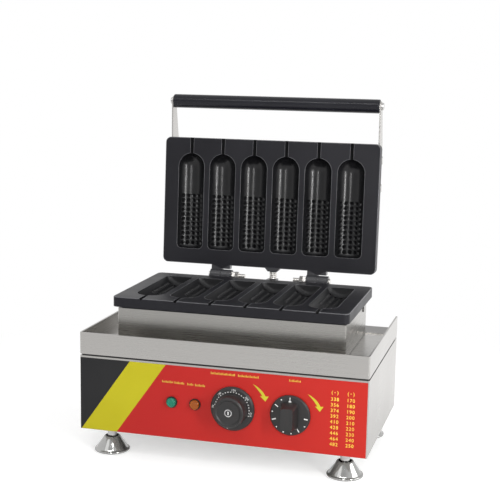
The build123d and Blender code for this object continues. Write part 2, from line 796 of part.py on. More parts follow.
with BuildPart() as hinge_nuts:
    for hinge_side in (-1, 1):
        for turn in (0, 1):
            nut_x = inner_knuckle_x - fit_gap - turn * (hinge_nut_length + fit_gap)
            with BuildSketch(facing_right(hinge_shift + hinge_side * nut_x)):
                with Locations((hinge_y, hinge_z)):
                    hexagon(hinge_nut_flats, turn * second_nut_turn)
                    Circle(hinge_pin_radius + thread_clearance, mode=Mode.SUBTRACT)
            extrude(amount=-hinge_side * hinge_nut_length)

# Lid cover: a drawn stainless box over the back of the upper plate
cover_half = cover_width / 2
arm_bolt_z = cover_bottom_z + arm_bolt_height
arm_bolt_spots = [
    (plate_front_y + arm_bolt_front_margin, arm_bolt_z),
    (plate_front_y + arm_inner_reach - arm_bolt_end_margin, arm_bolt_z),
]
with BuildPart() as lid_cover:
    with BuildSketch(facing_up(cover_bottom_z, y=seat_mid_y)):
        RectangleRounded(cover_width, cover_rear_y - cover_front_y, cover_corner)
    extrude(amount=cover_height)
    fillet(lid_cover.edges().group_by(Axis.Z)[-1], cover_edge_radius)
    offset(amount=-sheet, openings=lid_cover.faces().sort_by(Axis.Z)[0])
    with BuildSketch(facing_right(-cover_half - overrun)):
        with Locations(arm_bolt_spots):
            Circle(arm_bolt_radius + fit_gap)
    extrude(amount=cover_width + 2 * overrun, mode=Mode.SUBTRACT)
    with BuildSketch(facing_up(cover_top_z - sheet - overrun, y=seat_mid_y)):
        with GridLocations(2 * post_x, 2 * post_y, 2, 2):
            Circle(post_stud_radius + fit_gap)
    extrude(amount=sheet + 2 * overrun, mode=Mode.SUBTRACT)

with BuildPart() as upper_insulation:
    with BuildSketch(facing_up(cover_top_z - sheet, y=pedestal_mid_y)):
        RectangleRounded(insulation_width, insulation_length, insulation_corner)
    extrude(amount=-upper_insulation_height)

# Posts that stand on the upper plate, with studs through the cover, and their cap nuts
with BuildPart() as cover_posts:
    with BuildSketch(facing_up(upper_pad_z, y=seat_mid_y)):
        with GridLocations(2 * post_x, 2 * post_y, 2, 2):
            Circle(post_radius)
    extrude(amount=cover_top_z - sheet - upper_pad_z)
    with BuildSketch(facing_up(cover_top_z - sheet, y=seat_mid_y)):
        with GridLocations(2 * post_x, 2 * post_y, 2, 2):
            Circle(post_stud_radius)
    extrude(amount=sheet + post_stud_length)

with BuildPart() as cover_nuts:
    with BuildSketch(facing_up(cover_top_z, y=seat_mid_y)):
        with GridLocations(2 * post_x, 2 * post_y, 2, 2):
            hexagon(post_nut_flats)
    extrude(amount=post_nut_length)
    chamfer(cover_nuts.edges().group_by(Axis.Z)[-1], post_nut_length / 4)
    with BuildSketch(facing_up(cover_top_z, y=seat_mid_y)):
        with GridLocations(2 * post_x, 2 * post_y, 2, 2):
            Circle(post_stud_radius + thread_clearance)
    extrude(amount=post_stud_length + thread_clearance, mode=Mode.SUBTRACT)


def handle_arm(side):
    """Flat arm against one side of the lid cover, tapering to a round end at the grip."""
    low_z = cover_bottom_z + arm_lift
    high_z = low_z + arm_root_width
    inner_y = plate_front_y + arm_inner_reach
    with BuildPart() as arm:
        with BuildSketch(facing_right(side * cover_half)) as outline:
            with BuildLine():
                Polyline(
                    (inner_y, low_z),
                    (plate_front_y, low_z),
                    (grip_y, grip_z - arm_tip_radius),
                    (grip_y, grip_z + arm_tip_radius),
                    (plate_front_y, high_z),
                    (inner_y, high_z),
                    close=True,
                )
            make_face()
            fillet(outline.vertices().group_by(Axis.X)[-1], arm_corner)
            with Locations((grip_y, grip_z)):
                Circle(arm_tip_radius)
                Circle(grip_rod_radius + thread_clearance, mode=Mode.SUBTRACT)
            with Locations(arm_bolt_spots):
                Circle(arm_bolt_radius + fit_gap, mode=Mode.SUBTRACT)
        extrude(amount=side * arm_sheet)
    return arm


handle_arm_left = handle_arm(-1)
handle_arm_right = handle_arm(1)

# Round grip over a steel rod that runs through both arms
grip_half = cover_half - fit_gap / 2
arm_outer_x = cover_half + arm_sheet
with BuildPart() as handle_grip:
    with BuildSketch(facing_right(-grip_half)):
        with Locations((grip_y, grip_z)):
            Circle(grip_radius)
    extrude(amount=2 * grip_half)
    fillet(handle_grip.edges().filter_by(GeomType.CIRCLE), grip_end_radius)
    with BuildSketch(facing_right(-grip_half - overrun)):
        with Locations((grip_y, grip_z)):
            Circle(grip_bore_radius)
    extrude(amount=2 * (grip_half + overrun), mode=Mode.SUBTRACT)

with BuildPart() as handle_rod:
    with BuildSketch(facing_right(-arm_outer_x - grip_rod_tail)):
        with Locations((grip_y, grip_z)):
            Circle(grip_rod_radius)
    extrude(amount=2 * (arm_outer_x + grip_rod_tail))

with BuildPart() as handle_cap_nuts:
    for side in (-1, 1):
        with BuildSketch(facing_right(side * arm_outer_x)):
            with Locations((grip_y, grip_z)):
                Circle(cap_nut_radius)
        extrude(amount=side * cap_nut_length)
    rims = handle_cap_nuts.edges().filter_by(GeomType.CIRCLE).group_by(Axis.X)
    fillet(rims[0] + rims[-1], cap_nut_length / 2)
    for side in (-1, 1):
        with BuildSketch(facing_right(side * arm_outer_x)):
            with Locations((grip_y, grip_z)):
                Circle(grip_rod_radius + thread_clearance)
        extrude(amount=side * (grip_rod_tail + thread_clearance), mode=Mode.SUBTRACT)

with BuildPart() as arm_bolts:
    for side in (-1, 1):
        with BuildSketch(facing_right(side * arm_outer_x)):
            with Locations(arm_bolt_spots):
                Circle(arm_bolt_head_radius)
        extrude(amount=side * arm_bolt_head_height)
    rims = arm_bolts.edges().filter_by(GeomType.CIRCLE).group_by(Axis.X)
    fillet(rims[0] + rims[-1], arm_bolt_head_height / 2)
    for side in (-1, 1):
        with BuildSketch(facing_right(side * arm_outer_x)):
            with Locations(arm_bolt_spots):
                Circle(arm_bolt_radius)
        extrude(amount=-side * arm_bolt_length)

with BuildPart() as arm_nuts:
    for side in (-1, 1):
        with BuildSketch(facing_right(side * (cover_half - sheet))):
            with Locations(arm_bolt_spots):
                hexagon(arm_nut_flats)
                Circle(arm_bolt_radius + thread_clearance, mode=Mode.SUBTRACT)
        extrude(amount=-side * arm_nut_length)

# Printed sheet over the front of the housing
panel_low_z = base_bottom_z + panel_bottom_margin
panel_high_z = base_top_z - panel_top_margin
with BuildPart() as control_panel:
    with BuildSketch(facing_front(front_y, z=(panel_low_z + panel_high_z) / 2)):
        Rectangle(housing_width - 2 * panel_side_margin, panel_high_z - panel_low_z)
    extrude(amount=panel_sheet)
    with BuildSketch(facing_front(front_y + overrun)):
        with Locations((thermostat_x, thermostat_z), (timer_x, timer_z)):
            Circle(shaft_hole_radius)
        with Locations((power_lamp_x, lamp_z), (heat_lamp_x, lamp_z)):
            Circle(lamp_body_radius + fit_gap)
    extrude(amount=overrun * 2, mode=Mode.SUBTRACT)


def forward_of_panel(x, z):
    """Plane through a knob's axis: its X is the radius, its Y the height off the panel."""
    return Plane(origin=(x, panel_y, z), x_dir=(1, 0, 0), z_dir=(0, 0, -1))


def control_body(x, z, width, height, depth):
    """Switch body behind the front, with the bore that its shaft turns in."""
    with BuildPart() as body:
        with BuildSketch(facing_back(inside_y, x=x, z=z)):
            RectangleRounded(width, height, body_corner)
        extrude(amount=depth)
        with BuildSketch(facing_back(inside_y, x=x, z=z)):
            Circle(shaft_radius + shaft_clearance)
        extrude(amount=shaft_bite + shaft_clearance, mode=Mode.SUBTRACT)
    return body


def control_shaft(x, z):
    """Shaft from inside the switch body to inside the knob."""
    with BuildPart() as shaft:
        with BuildSketch(facing_front(inside_y + shaft_bite, x=x, z=z)):
            Circle(shaft_radius)
        extrude(amount=shaft_bite + inside_y - panel_y + knob_stand_off + knob_shaft_depth)
    return shaft


thermostat_body = control_body(
    thermostat_x,
    thermostat_z,
    thermostat_body_width,
    thermostat_body_height,
    thermostat_body_depth,
)
timer_body = control_body(
    timer_x, timer_z, timer_body_width, timer_body_height, timer_body_depth
)
thermostat_shaft = control_shaft(thermostat_x, thermostat_z)
timer_shaft = control_shaft(timer_x, timer_z)

knob_bore_radius = shaft_radius + thread_clearance
knob_bore_end = knob_stand_off + knob_shaft_depth + thread_clearance

# Thermostat knob: a bevelled dial with a round grip whose face is dished
thermostat_dial_top = knob_stand_off + thermostat_dial_height
thermostat_face_top = knob_stand_off + thermostat_knob_height
thermostat_dish_floor = thermostat_face_top - thermostat_dish_depth
with BuildPart() as thermostat_knob:
    with BuildSketch(forward_of_panel(thermostat_x, thermostat_z)):
        with BuildLine():
            Polyline(
                (knob_bore_radius, knob_stand_off),
                (thermostat_dial_radius, knob_stand_off),
                (thermostat_dial_radius, thermostat_dial_top - thermostat_dial_bevel),
                (thermostat_dial_radius - thermostat_dial_bevel, thermostat_dial_top),
                (thermostat_grip_radius, thermostat_dial_top),
                (thermostat_face_radius, thermostat_face_top - thermostat_dish_depth),
                (thermostat_face_radius - thermostat_dish_depth, thermostat_face_top),
                (thermostat_dish_radius, thermostat_face_top),
                (thermostat_dish_radius - thermostat_dish_depth, thermostat_dish_floor),
                (0, thermostat_dish_floor),
                (0, knob_bore_end),
                (knob_bore_radius, knob_bore_end),
                close=True,
            )
        make_face()
    revolve(axis=Axis((thermostat_x, panel_y, thermostat_z), (0, -1, 0)))

with BuildPart() as thermostat_disc:
    with BuildSketch(facing_front(panel_y - thermostat_dish_floor, x=thermostat_x, z=thermostat_z)):
        Circle(thermostat_disc_radius)
    extrude(amount=thermostat_disc_height)

# Timer knob: a bevelled dial with an upright bar that narrows towards its face
timer_dial_top = knob_stand_off + timer_dial_height
timer_bar_start = timer_dial_top - timer_dial_bevel
with BuildPart() as timer_knob:
    with BuildSketch(forward_of_panel(timer_x, timer_z)):
        with BuildLine():
            Polyline(
                (0, knob_stand_off),
                (timer_dial_radius, knob_stand_off),
                (timer_dial_radius, timer_dial_top - timer_dial_bevel),
                (timer_dial_radius - timer_dial_bevel, timer_dial_top),
                (0, timer_dial_top),
                close=True,
            )
        make_face()
    revolve(axis=Axis((timer_x, panel_y, timer_z), (0, -1, 0)))
    with BuildSketch(facing_front(panel_y - timer_bar_start, x=timer_x, z=timer_z)):
        RectangleRounded(timer_bar_width, timer_bar_height, timer_bar_corner)
    with BuildSketch(facing_front(panel_y - knob_stand_off - timer_knob_height, x=timer_x, z=timer_z)):
        RectangleRounded(timer_bar_tip_width, timer_bar_tip_height, timer_bar_corner)
    loft()
    with BuildSketch(facing_front(panel_y - knob_stand_off, x=timer_x, z=timer_z)):
        Circle(knob_bore_radius)
    extrude(amount=knob_shaft_depth + thread_clearance, mode=Mode.SUBTRACT)


lamp_lens_base = lamp_bezel_height - lamp_lens_seat


def lamp(x):
    """Signal lamp: a holder with a bezel, and a domed lens seated in it."""
    with BuildPart() as holder:
        with BuildSketch(facing_front(panel_y, x=x, z=lamp_z)):
            Circle(lamp_bezel_radius)
        extrude(amount=lamp_bezel_height)
        with BuildSketch(facing_front(panel_y, x=x, z=lamp_z)):
            Circle(lamp_body_radius)
        extrude(amount=-lamp_body_length)
        with BuildSketch(facing_front(panel_y - lamp_lens_base, x=x, z=lamp_z)):
            Circle(lamp_bezel_bore_radius)
        extrude(amount=lamp_lens_seat, mode=Mode.SUBTRACT)
    with BuildPart() as lens:
        with BuildSketch(facing_front(panel_y - lamp_lens_base, x=x, z=lamp_z)):
            Circle(lamp_lens_radius)
        extrude(amount=lamp_lens_height)
        fillet(lens.edges().filter_by(GeomType.CIRCLE).sort_by(Axis.Y)[0], lamp_lens_height / 2)
    return holder, lens


power_lamp_holder, power_lamp_lens = lamp(power_lamp_x)
heat_lamp_holder, heat_lamp_lens = lamp(heat_lamp_x)

with BuildPart() as lamp_nuts:
    with BuildSketch(facing_back(inside_y)):
        with Locations((-power_lamp_x, lamp_z), (-heat_lamp_x, lamp_z)):
            hexagon(lamp_nut_flats)
            Circle(lamp_body_radius + thread_clearance, mode=Mode.SUBTRACT)
    extrude(amount=lamp_nut_length)

# Terminal block on the bottom plate, near the back
block_floor_z = bottom_plate_z + sheet
block_y = rear_y - block_back
with BuildPart() as terminal_block:
    with BuildSketch(facing_up(block_floor_z, x=block_x, y=block_y)):
        Rectangle(block_width, block_depth)
    extrude(amount=block_height)
    with BuildSketch(facing_up(block_floor_z + block_height, x=block_x, y=block_y)):
        with GridLocations(block_width / block_pole_count, 0, block_pole_count, 1):
            Circle(block_pole_radius)
    extrude(amount=-block_pole_depth, mode=Mode.SUBTRACT)

# Cable gland through the rear cover, hollow for the supply lead, and its nut inside
with BuildPart() as cable_gland:
    with BuildSketch(facing_back(rear_y, x=gland_x, z=gland_z)):
        hexagon(gland_hex_flats)
    extrude(amount=gland_hex_length)
    with BuildSketch(facing_back(rear_y + gland_hex_length, x=gland_x, z=gland_z)):
        Circle(gland_nose_radius)
    extrude(amount=gland_nose_length, taper=gland_nose_taper)
    with BuildSketch(facing_back(rear_y, x=gland_x, z=gland_z)):
        Circle(gland_thread_radius)
    extrude(amount=-(sheet + gland_tail))
    with BuildSketch(facing_back(shell_rear_y - gland_tail - overrun, x=gland_x, z=gland_z)):
        Circle(gland_bore_radius)
    gland_span = sheet + gland_tail + gland_hex_length + gland_nose_length
    extrude(amount=gland_span + 2 * overrun, mode=Mode.SUBTRACT)

with BuildPart() as gland_locknut:
    with BuildSketch(facing_front(shell_rear_y, x=gland_x, z=gland_z)):
        hexagon(gland_nut_flats)
        Circle(gland_thread_radius + thread_clearance, mode=Mode.SUBTRACT)
    extrude(amount=gland_nut_length)

# Earth terminal: a stud through the rear cover with a nut on each side
with BuildPart() as earth_terminal:
    with BuildSketch(facing_back(shell_rear_y - earth_nut_length, x=earth_x, z=gland_z)):
        Circle(earth_radius)
    extrude(amount=earth_length)
with BuildPart() as earth_nuts:
    for nut_y, nut_length in ((shell_rear_y, -earth_nut_length), (rear_y, earth_nut_length)):
        with BuildSketch(facing_back(nut_y, x=earth_x, z=gland_z)):
            hexagon(earth_nut_flats)
            Circle(earth_radius + thread_clearance, mode=Mode.SUBTRACT)
        extrude(amount=nut_length)

# Feet: a bell with an open neck, a rubber pad below, a threaded stem up through the bottom plate
foot_places = [(x, mid_y + y) for x in (-foot_x, foot_x) for y in (-foot_y, foot_y)]
bell_slope = (foot_rim_radius - foot_neck_radius) / (foot_neck_height - foot_rim_height)
bell_floor_radius = (
    foot_rim_radius - foot_wall - (foot_base_thickness - foot_rim_height) * bell_slope
)
foot_pad_radius = foot_rim_radius - foot_wall
with BuildPart() as feet:
    for x, y in foot_places:
        with BuildSketch(facing_front(y, x=x)):
            with BuildLine():
                Polyline(
                    (0, foot_pad_height),
                    (foot_pad_radius, foot_pad_height),
                    (foot_pad_radius, foot_pad_proud),
                    (foot_rim_radius, foot_pad_proud),
                    (foot_rim_radius, foot_rim_height),
                    (foot_neck_radius, foot_neck_height),
                    (foot_neck_bore_radius, foot_neck_height),
                    (bell_floor_radius, foot_base_thickness),
                    (0, foot_base_thickness),
                    close=True,
                )
            make_face()
        revolve(axis=Axis((x, y, 0), (0, 0, 1)))

with BuildPart() as foot_pads:
    with BuildSketch(Plane.XY):
        with Locations(foot_places):
            Circle(foot_pad_radius - fit_gap)
    extrude(amount=foot_pad_height)

with BuildPart() as foot_stems:
    with BuildSketch(Plane.XY.offset(foot_base_thickness)):
        with Locations(foot_places):
            Circle(foot_collar_radius)
    extrude(amount=bottom_plate_z - foot_base_thickness)
    with BuildSketch(Plane.XY.offset(bottom_plate_z)):
        with Locations(foot_places):
            Circle(foot_stud_radius)
    extrude(amount=foot_stud_rise)

with BuildPart() as foot_nuts:
    with BuildSketch(Plane.XY.offset(bottom_plate_z + sheet)):
        with Locations(foot_places):
            hexagon(foot_nut_flats)
            Circle(foot_stud_radius + thread_clearance, mode=Mode.SUBTRACT)
    extrude(amount=foot_nut_length)

# The pieces that stay with the base, where they were drawn
base_pieces = {
    "base_shell": base_shell,
    "bottom_plate": bottom_plate,
    "bottom_screws": bottom_screws,
    "rear_cover": rear_cover,
    "rear_cover_screws": rear_cover_screws,
    "drip_tray": drip_tray,
    "tray_seal": tray_seal,
    "pedestal": pedestal,
    "pedestal_screws": pedestal_screws,
    "heat_shield": heat_shield,
    "lower_insulation": lower_insulation,
    "lower_plate": lower_plate,
    "lower_element": lower_element,
    "lower_clamp_bars": lower_clamp_bars,
    "lower_clamp_screws": lower_clamp_screws,
    "thermostat_bulb": thermostat_bulb,
    "hinge_pins": hinge_pins,
    "hinge_nuts": hinge_nuts,
    "wire_conduit": wire_conduit,
    "control_panel": control_panel,
    "thermostat_body": thermostat_body,
    "thermostat_shaft": thermostat_shaft,
    "thermostat_knob": thermostat_knob,
    "thermostat_disc": thermostat_disc,
    "timer_body": timer_body,
    "timer_shaft": timer_shaft,
    "timer_knob": timer_knob,
    "power_lamp_holder": power_lamp_holder,
    "power_lamp_lens": power_lamp_lens,
    "heat_lamp_holder": heat_lamp_holder,
    "heat_lamp_lens": heat_lamp_lens,
    "lamp_nuts": lamp_nuts,
    "terminal_block": terminal_block,
    "cable_gland": cable_gland,
    "gland_locknut": gland_locknut,
    "earth_terminal": earth_terminal,
    "earth_nuts": earth_nuts,
    "feet": feet,
    "foot_pads": foot_pads,
    "foot_stems": foot_stems,
    "foot_nuts": foot_nuts,
}

# The pieces of the lid, drawn shut and swung open about the hinge axis
lid_pieces = {
    "upper_plate": upper_plate,
    "upper_element": upper_element,
    "upper_clamp_bars": upper_clamp_bars,
    "upper_clamp_screws": upper_clamp_screws,
    "upper_insulation": upper_insulation,
    "lid_cover": lid_cover,
    "cover_posts": cover_posts,
    "cover_nuts": cover_nuts,
    "handle_arm_left": handle_arm_left,
    "handle_arm_right": handle_arm_right,
    "handle_grip": handle_grip,
    "handle_rod": handle_rod,
    "handle_cap_nuts": handle_cap_nuts,
    "arm_bolts": arm_bolts,
    "arm_nuts": arm_nuts,
}

for label, piece in base_pieces.items():
    piece.part.label = label
    export_step(piece.part, f"parts/{label}.step")

for label, piece in lid_pieces.items():
    piece.part = piece.part.rotate(hinge_axis, -open_angle)
    piece.part.label = label
    export_step(piece.part, f"parts/{label}.step")
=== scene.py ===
"""Looks of the hot dog maker: camera, finishes, waffle pockets, rims, conduit, feet, print and light."""

import json
from itertools import product
from math import atan2, cos, hypot, pi, radians, sin

import bmesh
import bpy
from mathutils import Matrix, Vector


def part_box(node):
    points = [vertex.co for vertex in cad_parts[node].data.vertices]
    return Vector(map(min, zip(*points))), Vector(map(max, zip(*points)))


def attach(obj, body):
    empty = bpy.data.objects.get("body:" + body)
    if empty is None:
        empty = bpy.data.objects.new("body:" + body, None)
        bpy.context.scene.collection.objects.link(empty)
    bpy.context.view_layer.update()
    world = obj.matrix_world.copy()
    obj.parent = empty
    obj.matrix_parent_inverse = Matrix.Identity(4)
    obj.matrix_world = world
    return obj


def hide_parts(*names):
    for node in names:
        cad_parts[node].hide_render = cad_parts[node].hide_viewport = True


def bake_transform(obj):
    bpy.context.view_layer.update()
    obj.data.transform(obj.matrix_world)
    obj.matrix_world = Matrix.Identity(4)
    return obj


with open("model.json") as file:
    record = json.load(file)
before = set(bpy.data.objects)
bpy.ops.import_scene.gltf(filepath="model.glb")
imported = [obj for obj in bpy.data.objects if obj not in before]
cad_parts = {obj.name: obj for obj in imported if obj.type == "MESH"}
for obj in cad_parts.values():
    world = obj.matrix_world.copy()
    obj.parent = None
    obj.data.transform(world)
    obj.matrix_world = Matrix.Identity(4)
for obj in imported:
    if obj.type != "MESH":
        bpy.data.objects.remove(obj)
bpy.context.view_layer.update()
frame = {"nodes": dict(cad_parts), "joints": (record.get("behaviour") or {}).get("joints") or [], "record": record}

mm = 0.001
nodes = frame["nodes"]
joints = {joint["name"]: joint for joint in frame["joints"]}
hinge_point = Vector(joints["lid_hinge"]["pos_m"])
open_turn = radians(joints["lid_hinge"]["range_deg"][1])


def link(thing):
    """Puts an object into the scene."""
    bpy.context.scene.collection.objects.link(thing)
    return thing


# Camera, fitted to the photograph: lens and sensor in millimetres, place in metres
camera_data = bpy.data.cameras.new("camera")
camera_data.lens = 82.476
camera_data.sensor_width = 36.0
camera_place = (0.4203, -1.5415, 0.5499)
camera_right = Vector((0.96424, 0.26447, 0.01715)).normalized()
camera_up = Vector((0.25800, -0.95152, 0.16745)).cross(camera_right).normalized()
camera_back = camera_right.cross(camera_up)
camera = link(bpy.data.objects.new("camera", camera_data))
camera.matrix_world = Matrix.Translation(camera_place) @ Matrix(
    (camera_right, camera_up, camera_back)
).transposed().to_4x4()
bpy.context.scene.camera = camera
bpy.context.scene.view_settings.view_transform = "Standard"


# Nodes of materials and of the world
def feed(tree, socket, value):
    """Gives an input a plain value, or links it to another node's output."""
    if isinstance(value, bpy.types.NodeSocket):
        tree.links.new(value, socket)
    else:
        socket.default_value = value


def add_node(tree, kind, settings=(), inputs=()):
    node = tree.nodes.new(kind)
    for name, value in dict(settings).items():
        setattr(node, name, value)
    for name, value in dict(inputs).items():
        feed(tree, node.inputs[name], value)
    return node


class Finish:
    """A material under construction: its tree, its main shader and the object's coordinates.

    Each helper adds nodes to the tree and returns an output, and set() links outputs to the shader.
    """

    def __init__(self, name, **settings):
        self.material = bpy.data.materials.new(name)
        self.material.use_nodes = True
        self.tree = self.material.node_tree
        self.shader = self.tree.nodes["Principled BSDF"]
        coordinates = self.tree.nodes.new("ShaderNodeTexCoord")
        self.place = coordinates.outputs["Object"]
        self.normal = coordinates.outputs["Normal"]
        for socket, value in settings.items():
            self.shader.inputs[socket].default_value = value

    def add(self, kind, settings=(), inputs=()):
        return add_node(self.tree, kind, settings, inputs)

    def noise(self, scale, stretch=(1, 1, 1), detail=3.0):
        mapping = self.add("ShaderNodeMapping", inputs={"Vector": self.place, "Scale": stretch})
        noise = self.add(
            "ShaderNodeTexNoise",
            inputs={"Vector": mapping.outputs["Vector"], "Scale": scale, "Detail": detail},
        )
        return noise.outputs["Fac"]

    def range(self, value, low, high, from_low=0.3, from_high=0.7):
        limits = {"From Min": from_low, "From Max": from_high, "To Min": low, "To Max": high}
        return self.add("ShaderNodeMapRange", inputs={"Value": value, **limits}).outputs["Result"]

    def math(self, operation, *values):
        return self.add("ShaderNodeMath", {"operation": operation}, dict(enumerate(values))).outputs[0]

    def vector_math(self, operation, *values):
        return self.add("ShaderNodeVectorMath", {"operation": operation}, dict(enumerate(values))).outputs

    def ramp(self, value, *stops):
        node = self.add("ShaderNodeValToRGB", inputs={"Fac": value})
        elements = node.color_ramp.elements
        while len(elements) < len(stops):
            elements.new(0.5)
        for element, (position, colour) in zip(elements, stops):
            element.position = position
            element.color = (*colour, 1.0)
        return node.outputs["Color"]

    def mix(self, factor, first, second):
        """Mixes two colours, which are inputs 6 and 7 and output 2 of a node that also mixes numbers."""
        node = self.add("ShaderNodeMix", {"data_type": "RGBA"}, {"Factor": factor})
        for socket, colour in ((node.inputs[6], first), (node.inputs[7], second)):
            linked = isinstance(colour, bpy.types.NodeSocket)
            feed(self.tree, socket, colour if linked else (*colour, 1.0))
        return node.outputs[2]

    def split(self, vector):
        return self.add("ShaderNodeSeparateXYZ", inputs={"Vector": vector}).outputs

    def bump(self, height, strength, distance):
        node = self.add(
            "ShaderNodeBump", inputs={"Height": height, "Strength": strength, "Distance": distance}
        )
        self.tree.links.new(node.outputs["Normal"], self.shader.inputs["Normal"])

    def set(self, **outputs):
        for name, output in outputs.items():
            self.tree.links.new(output, self.shader.inputs[name.replace("_", " ")])
        return self.material


def grey(level):
    return (level, level, level)


def tint(colour, factor):
    return tuple(channel * factor for channel in colour)


# Materials
def brushed_steel(name, steel, top_darkening=0.0):
    """Sheet steel with fine grain along its length: level on upright faces, left to right on flat ones.

    Faces that look up are darker by the share given as the last argument; on the drip tray this is painted shade.
    """
    grain_along, grain_across = 10, 3200
    finish = Finish(name, Metallic=1.0)
    upright = finish.noise(1.0, (grain_along, grain_along, grain_across), detail=2.0)
    level = finish.noise(1.0, (grain_along, grain_across, grain_along), detail=2.0)
    up = finish.math("ABSOLUTE", finish.split(finish.normal)["Z"])
    faces_up = finish.math("GREATER_THAN", up, 0.7)
    grain = finish.add("ShaderNodeMix", inputs={"Factor": faces_up, "A": upright, "B": level}).outputs[0]
    cloud = finish.noise(9.0, detail=2.0)
    shade = finish.ramp(grain, (0.25, tint(steel, 0.975)), (0.75, tint(steel, 1.025)))
    mottle_and_top_darkening = finish.mix(finish.range(cloud, 0.0, 0.08), shade, tint(steel, 0.8))
    # Darker faces that look up: painted shade on the drip tray's floor, a darker top strip on the rear cover.
    if top_darkening:
        mottle_and_top_darkening = finish.mix(finish.math("MULTIPLY", faces_up, top_darkening), mottle_and_top_darkening, (0.050, 0.046, 0.042))
    finish.bump(grain, 0.03, 0.00002)
    rough = finish.math("ADD", finish.range(grain, 0.25, 0.31), finish.range(cloud, -0.02, 0.03))
    return finish.set(Base_Color=mottle_and_top_darkening, Roughness=rough)


def cast_coating(name, colour, low, high, speckle, gloss):
    """Non-stick coating on a casting: fine pebbled surface with faint uneven gloss."""
    finish = Finish(name, **{"Specular IOR Level": gloss})
    cloud = finish.noise(16.0, detail=3.0)
    grit = finish.noise(1400.0, detail=2.0)
    colours = finish.ramp(cloud, (0.3, tint(colour, 0.9)), (0.7, tint(colour, 1.12)))
    flecks = finish.mix(finish.range(grit, 0.0, speckle, 0.62, 0.75), colours, grey(0.12))
    finish.bump(grit, 0.12, 0.00004)
    return finish.set(Base_Color=flecks, Roughness=finish.range(cloud, low, high))


def bright_plate(name, plating, low, high):
    """Polished plating with faint smears."""
    finish = Finish(name, Metallic=1.0)
    smear = finish.noise(60.0, (1, 1, 0.3), detail=4.0)
    colour = finish.ramp(smear, (0.3, tint(plating, 0.92)), (0.7, tint(plating, 1.06)))
    finish.bump(finish.noise(220.0), 0.04, 0.0001)
    return finish.set(Base_Color=colour, Roughness=finish.range(smear, low, high))


def plain_metal(name, dark, pale, scale, low, high):
    """Metal whose colour drifts between two tones."""
    finish = Finish(name, Metallic=1.0)
    cloud = finish.noise(scale, detail=4.0)
    finish.bump(finish.noise(scale * 12), 0.08, 0.0001)
    return finish.set(
        Base_Color=finish.ramp(cloud, (0.35, dark), (0.65, pale)), Roughness=finish.range(cloud, low, high)
    )


def moulding(name, colour, low, high, grain=900.0, strength=0.12, gloss=0.5):
    """Moulded plastic, rubber, ceramic or ink with a fine grain and uneven gloss."""
    finish = Finish(name, **{"Specular IOR Level": gloss})
    cloud = finish.noise(22.0, detail=3.0)
    fine = finish.noise(grain, detail=2.0)
    colours = finish.ramp(cloud, (0.3, tint(colour, 0.88)), (0.7, tint(colour, 1.12)))
    finish.bump(fine, strength, 0.00006)
    return finish.set(Base_Color=colours, Roughness=finish.range(cloud, low, high))


def wool():
    """Mineral wool: matted fibres."""
    finish = Finish("insulation_wool", Roughness=0.95)
    fibres = finish.noise(260.0, (1, 1, 6), detail=6.0)
    finish.bump(fibres, 0.8, 0.0008)
    return finish.set(Base_Color=finish.ramp(fibres, (0.3, (0.62, 0.59, 0.50)), (0.7, (0.90, 0.88, 0.82))))


def printed_sheet():
    """Front sheet with its black, yellow and red fields, split by two slanted edges."""
    slant = 0.70
    black_edge, yellow_edge = -224.4 * mm, -172.9 * mm
    finish = Finish("panel_print", **{"Specular IOR Level": 0.22})
    parts = finish.split(finish.place)
    across = finish.math("SUBTRACT", parts["X"], finish.math("MULTIPLY", parts["Z"], slant))
    cloud = finish.noise(7.0, detail=2.0)
    grain = finish.noise(1600.0, detail=1.0)
    # The red field is lighter towards the right: painted light.
    lit_towards_right = finish.range(parts["X"], 0.0, 1.0, -0.10, 0.20)
    red = finish.mix(lit_towards_right, (0.415, 0.015, 0.013), (0.505, 0.022, 0.014))
    red = finish.mix(finish.range(cloud, 0.0, 0.10), red, (0.36, 0.013, 0.013))
    yellow = finish.ramp(cloud, (0.3, (0.435, 0.385, 0.009)), (0.7, (0.475, 0.43, 0.012)))
    black = finish.ramp(cloud, (0.3, (0.014, 0.014, 0.015)), (0.7, (0.020, 0.020, 0.021)))
    left = finish.mix(finish.math("GREATER_THAN", across, black_edge), black, yellow)
    fields = finish.mix(finish.math("GREATER_THAN", across, yellow_edge), left, red)
    finish.bump(grain, 0.05, 0.00004)
    return finish.set(Base_Color=fields, Roughness=finish.range(cloud, 0.36, 0.46))


def dial_disc():
    """Middle disc of the thermostat knob: dark, with a bright ring round a short upright line."""
    line_half_width, line_half_height = 0.8 * mm, 2.3 * mm
    low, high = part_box("thermostat_disc")
    middle = (low + high) / 2
    upright_plane = Vector((1, 0, 1))
    finish = Finish("knob_disc")
    offset = finish.vector_math("SUBTRACT", finish.place, middle * upright_plane)
    flat = finish.vector_math("MULTIPLY", offset[0], upright_plane)
    length = finish.vector_math("LENGTH", flat[0])["Value"]
    reach = finish.range(length, 0.0, 1.0, 0.0, (high.x - low.x) / 2)
    rings = finish.ramp(
        reach,
        (0.0, grey(0.02)), (0.68, grey(0.02)), (0.72, grey(0.5)), (0.84, grey(0.5)), (0.88, grey(0.05)),
    )
    sides = finish.split(flat[0])
    narrow = finish.math("LESS_THAN", finish.math("ABSOLUTE", sides["X"]), line_half_width)
    short = finish.math("LESS_THAN", finish.math("ABSOLUTE", sides["Z"]), line_half_height)
    marked = finish.mix(finish.math("MULTIPLY", narrow, short), rings, grey(0.62))
    cloud = finish.noise(300.0)
    finish.bump(cloud, 0.05, 0.0001)
    return finish.set(Base_Color=marked, Roughness=finish.range(cloud, 0.22, 0.34))


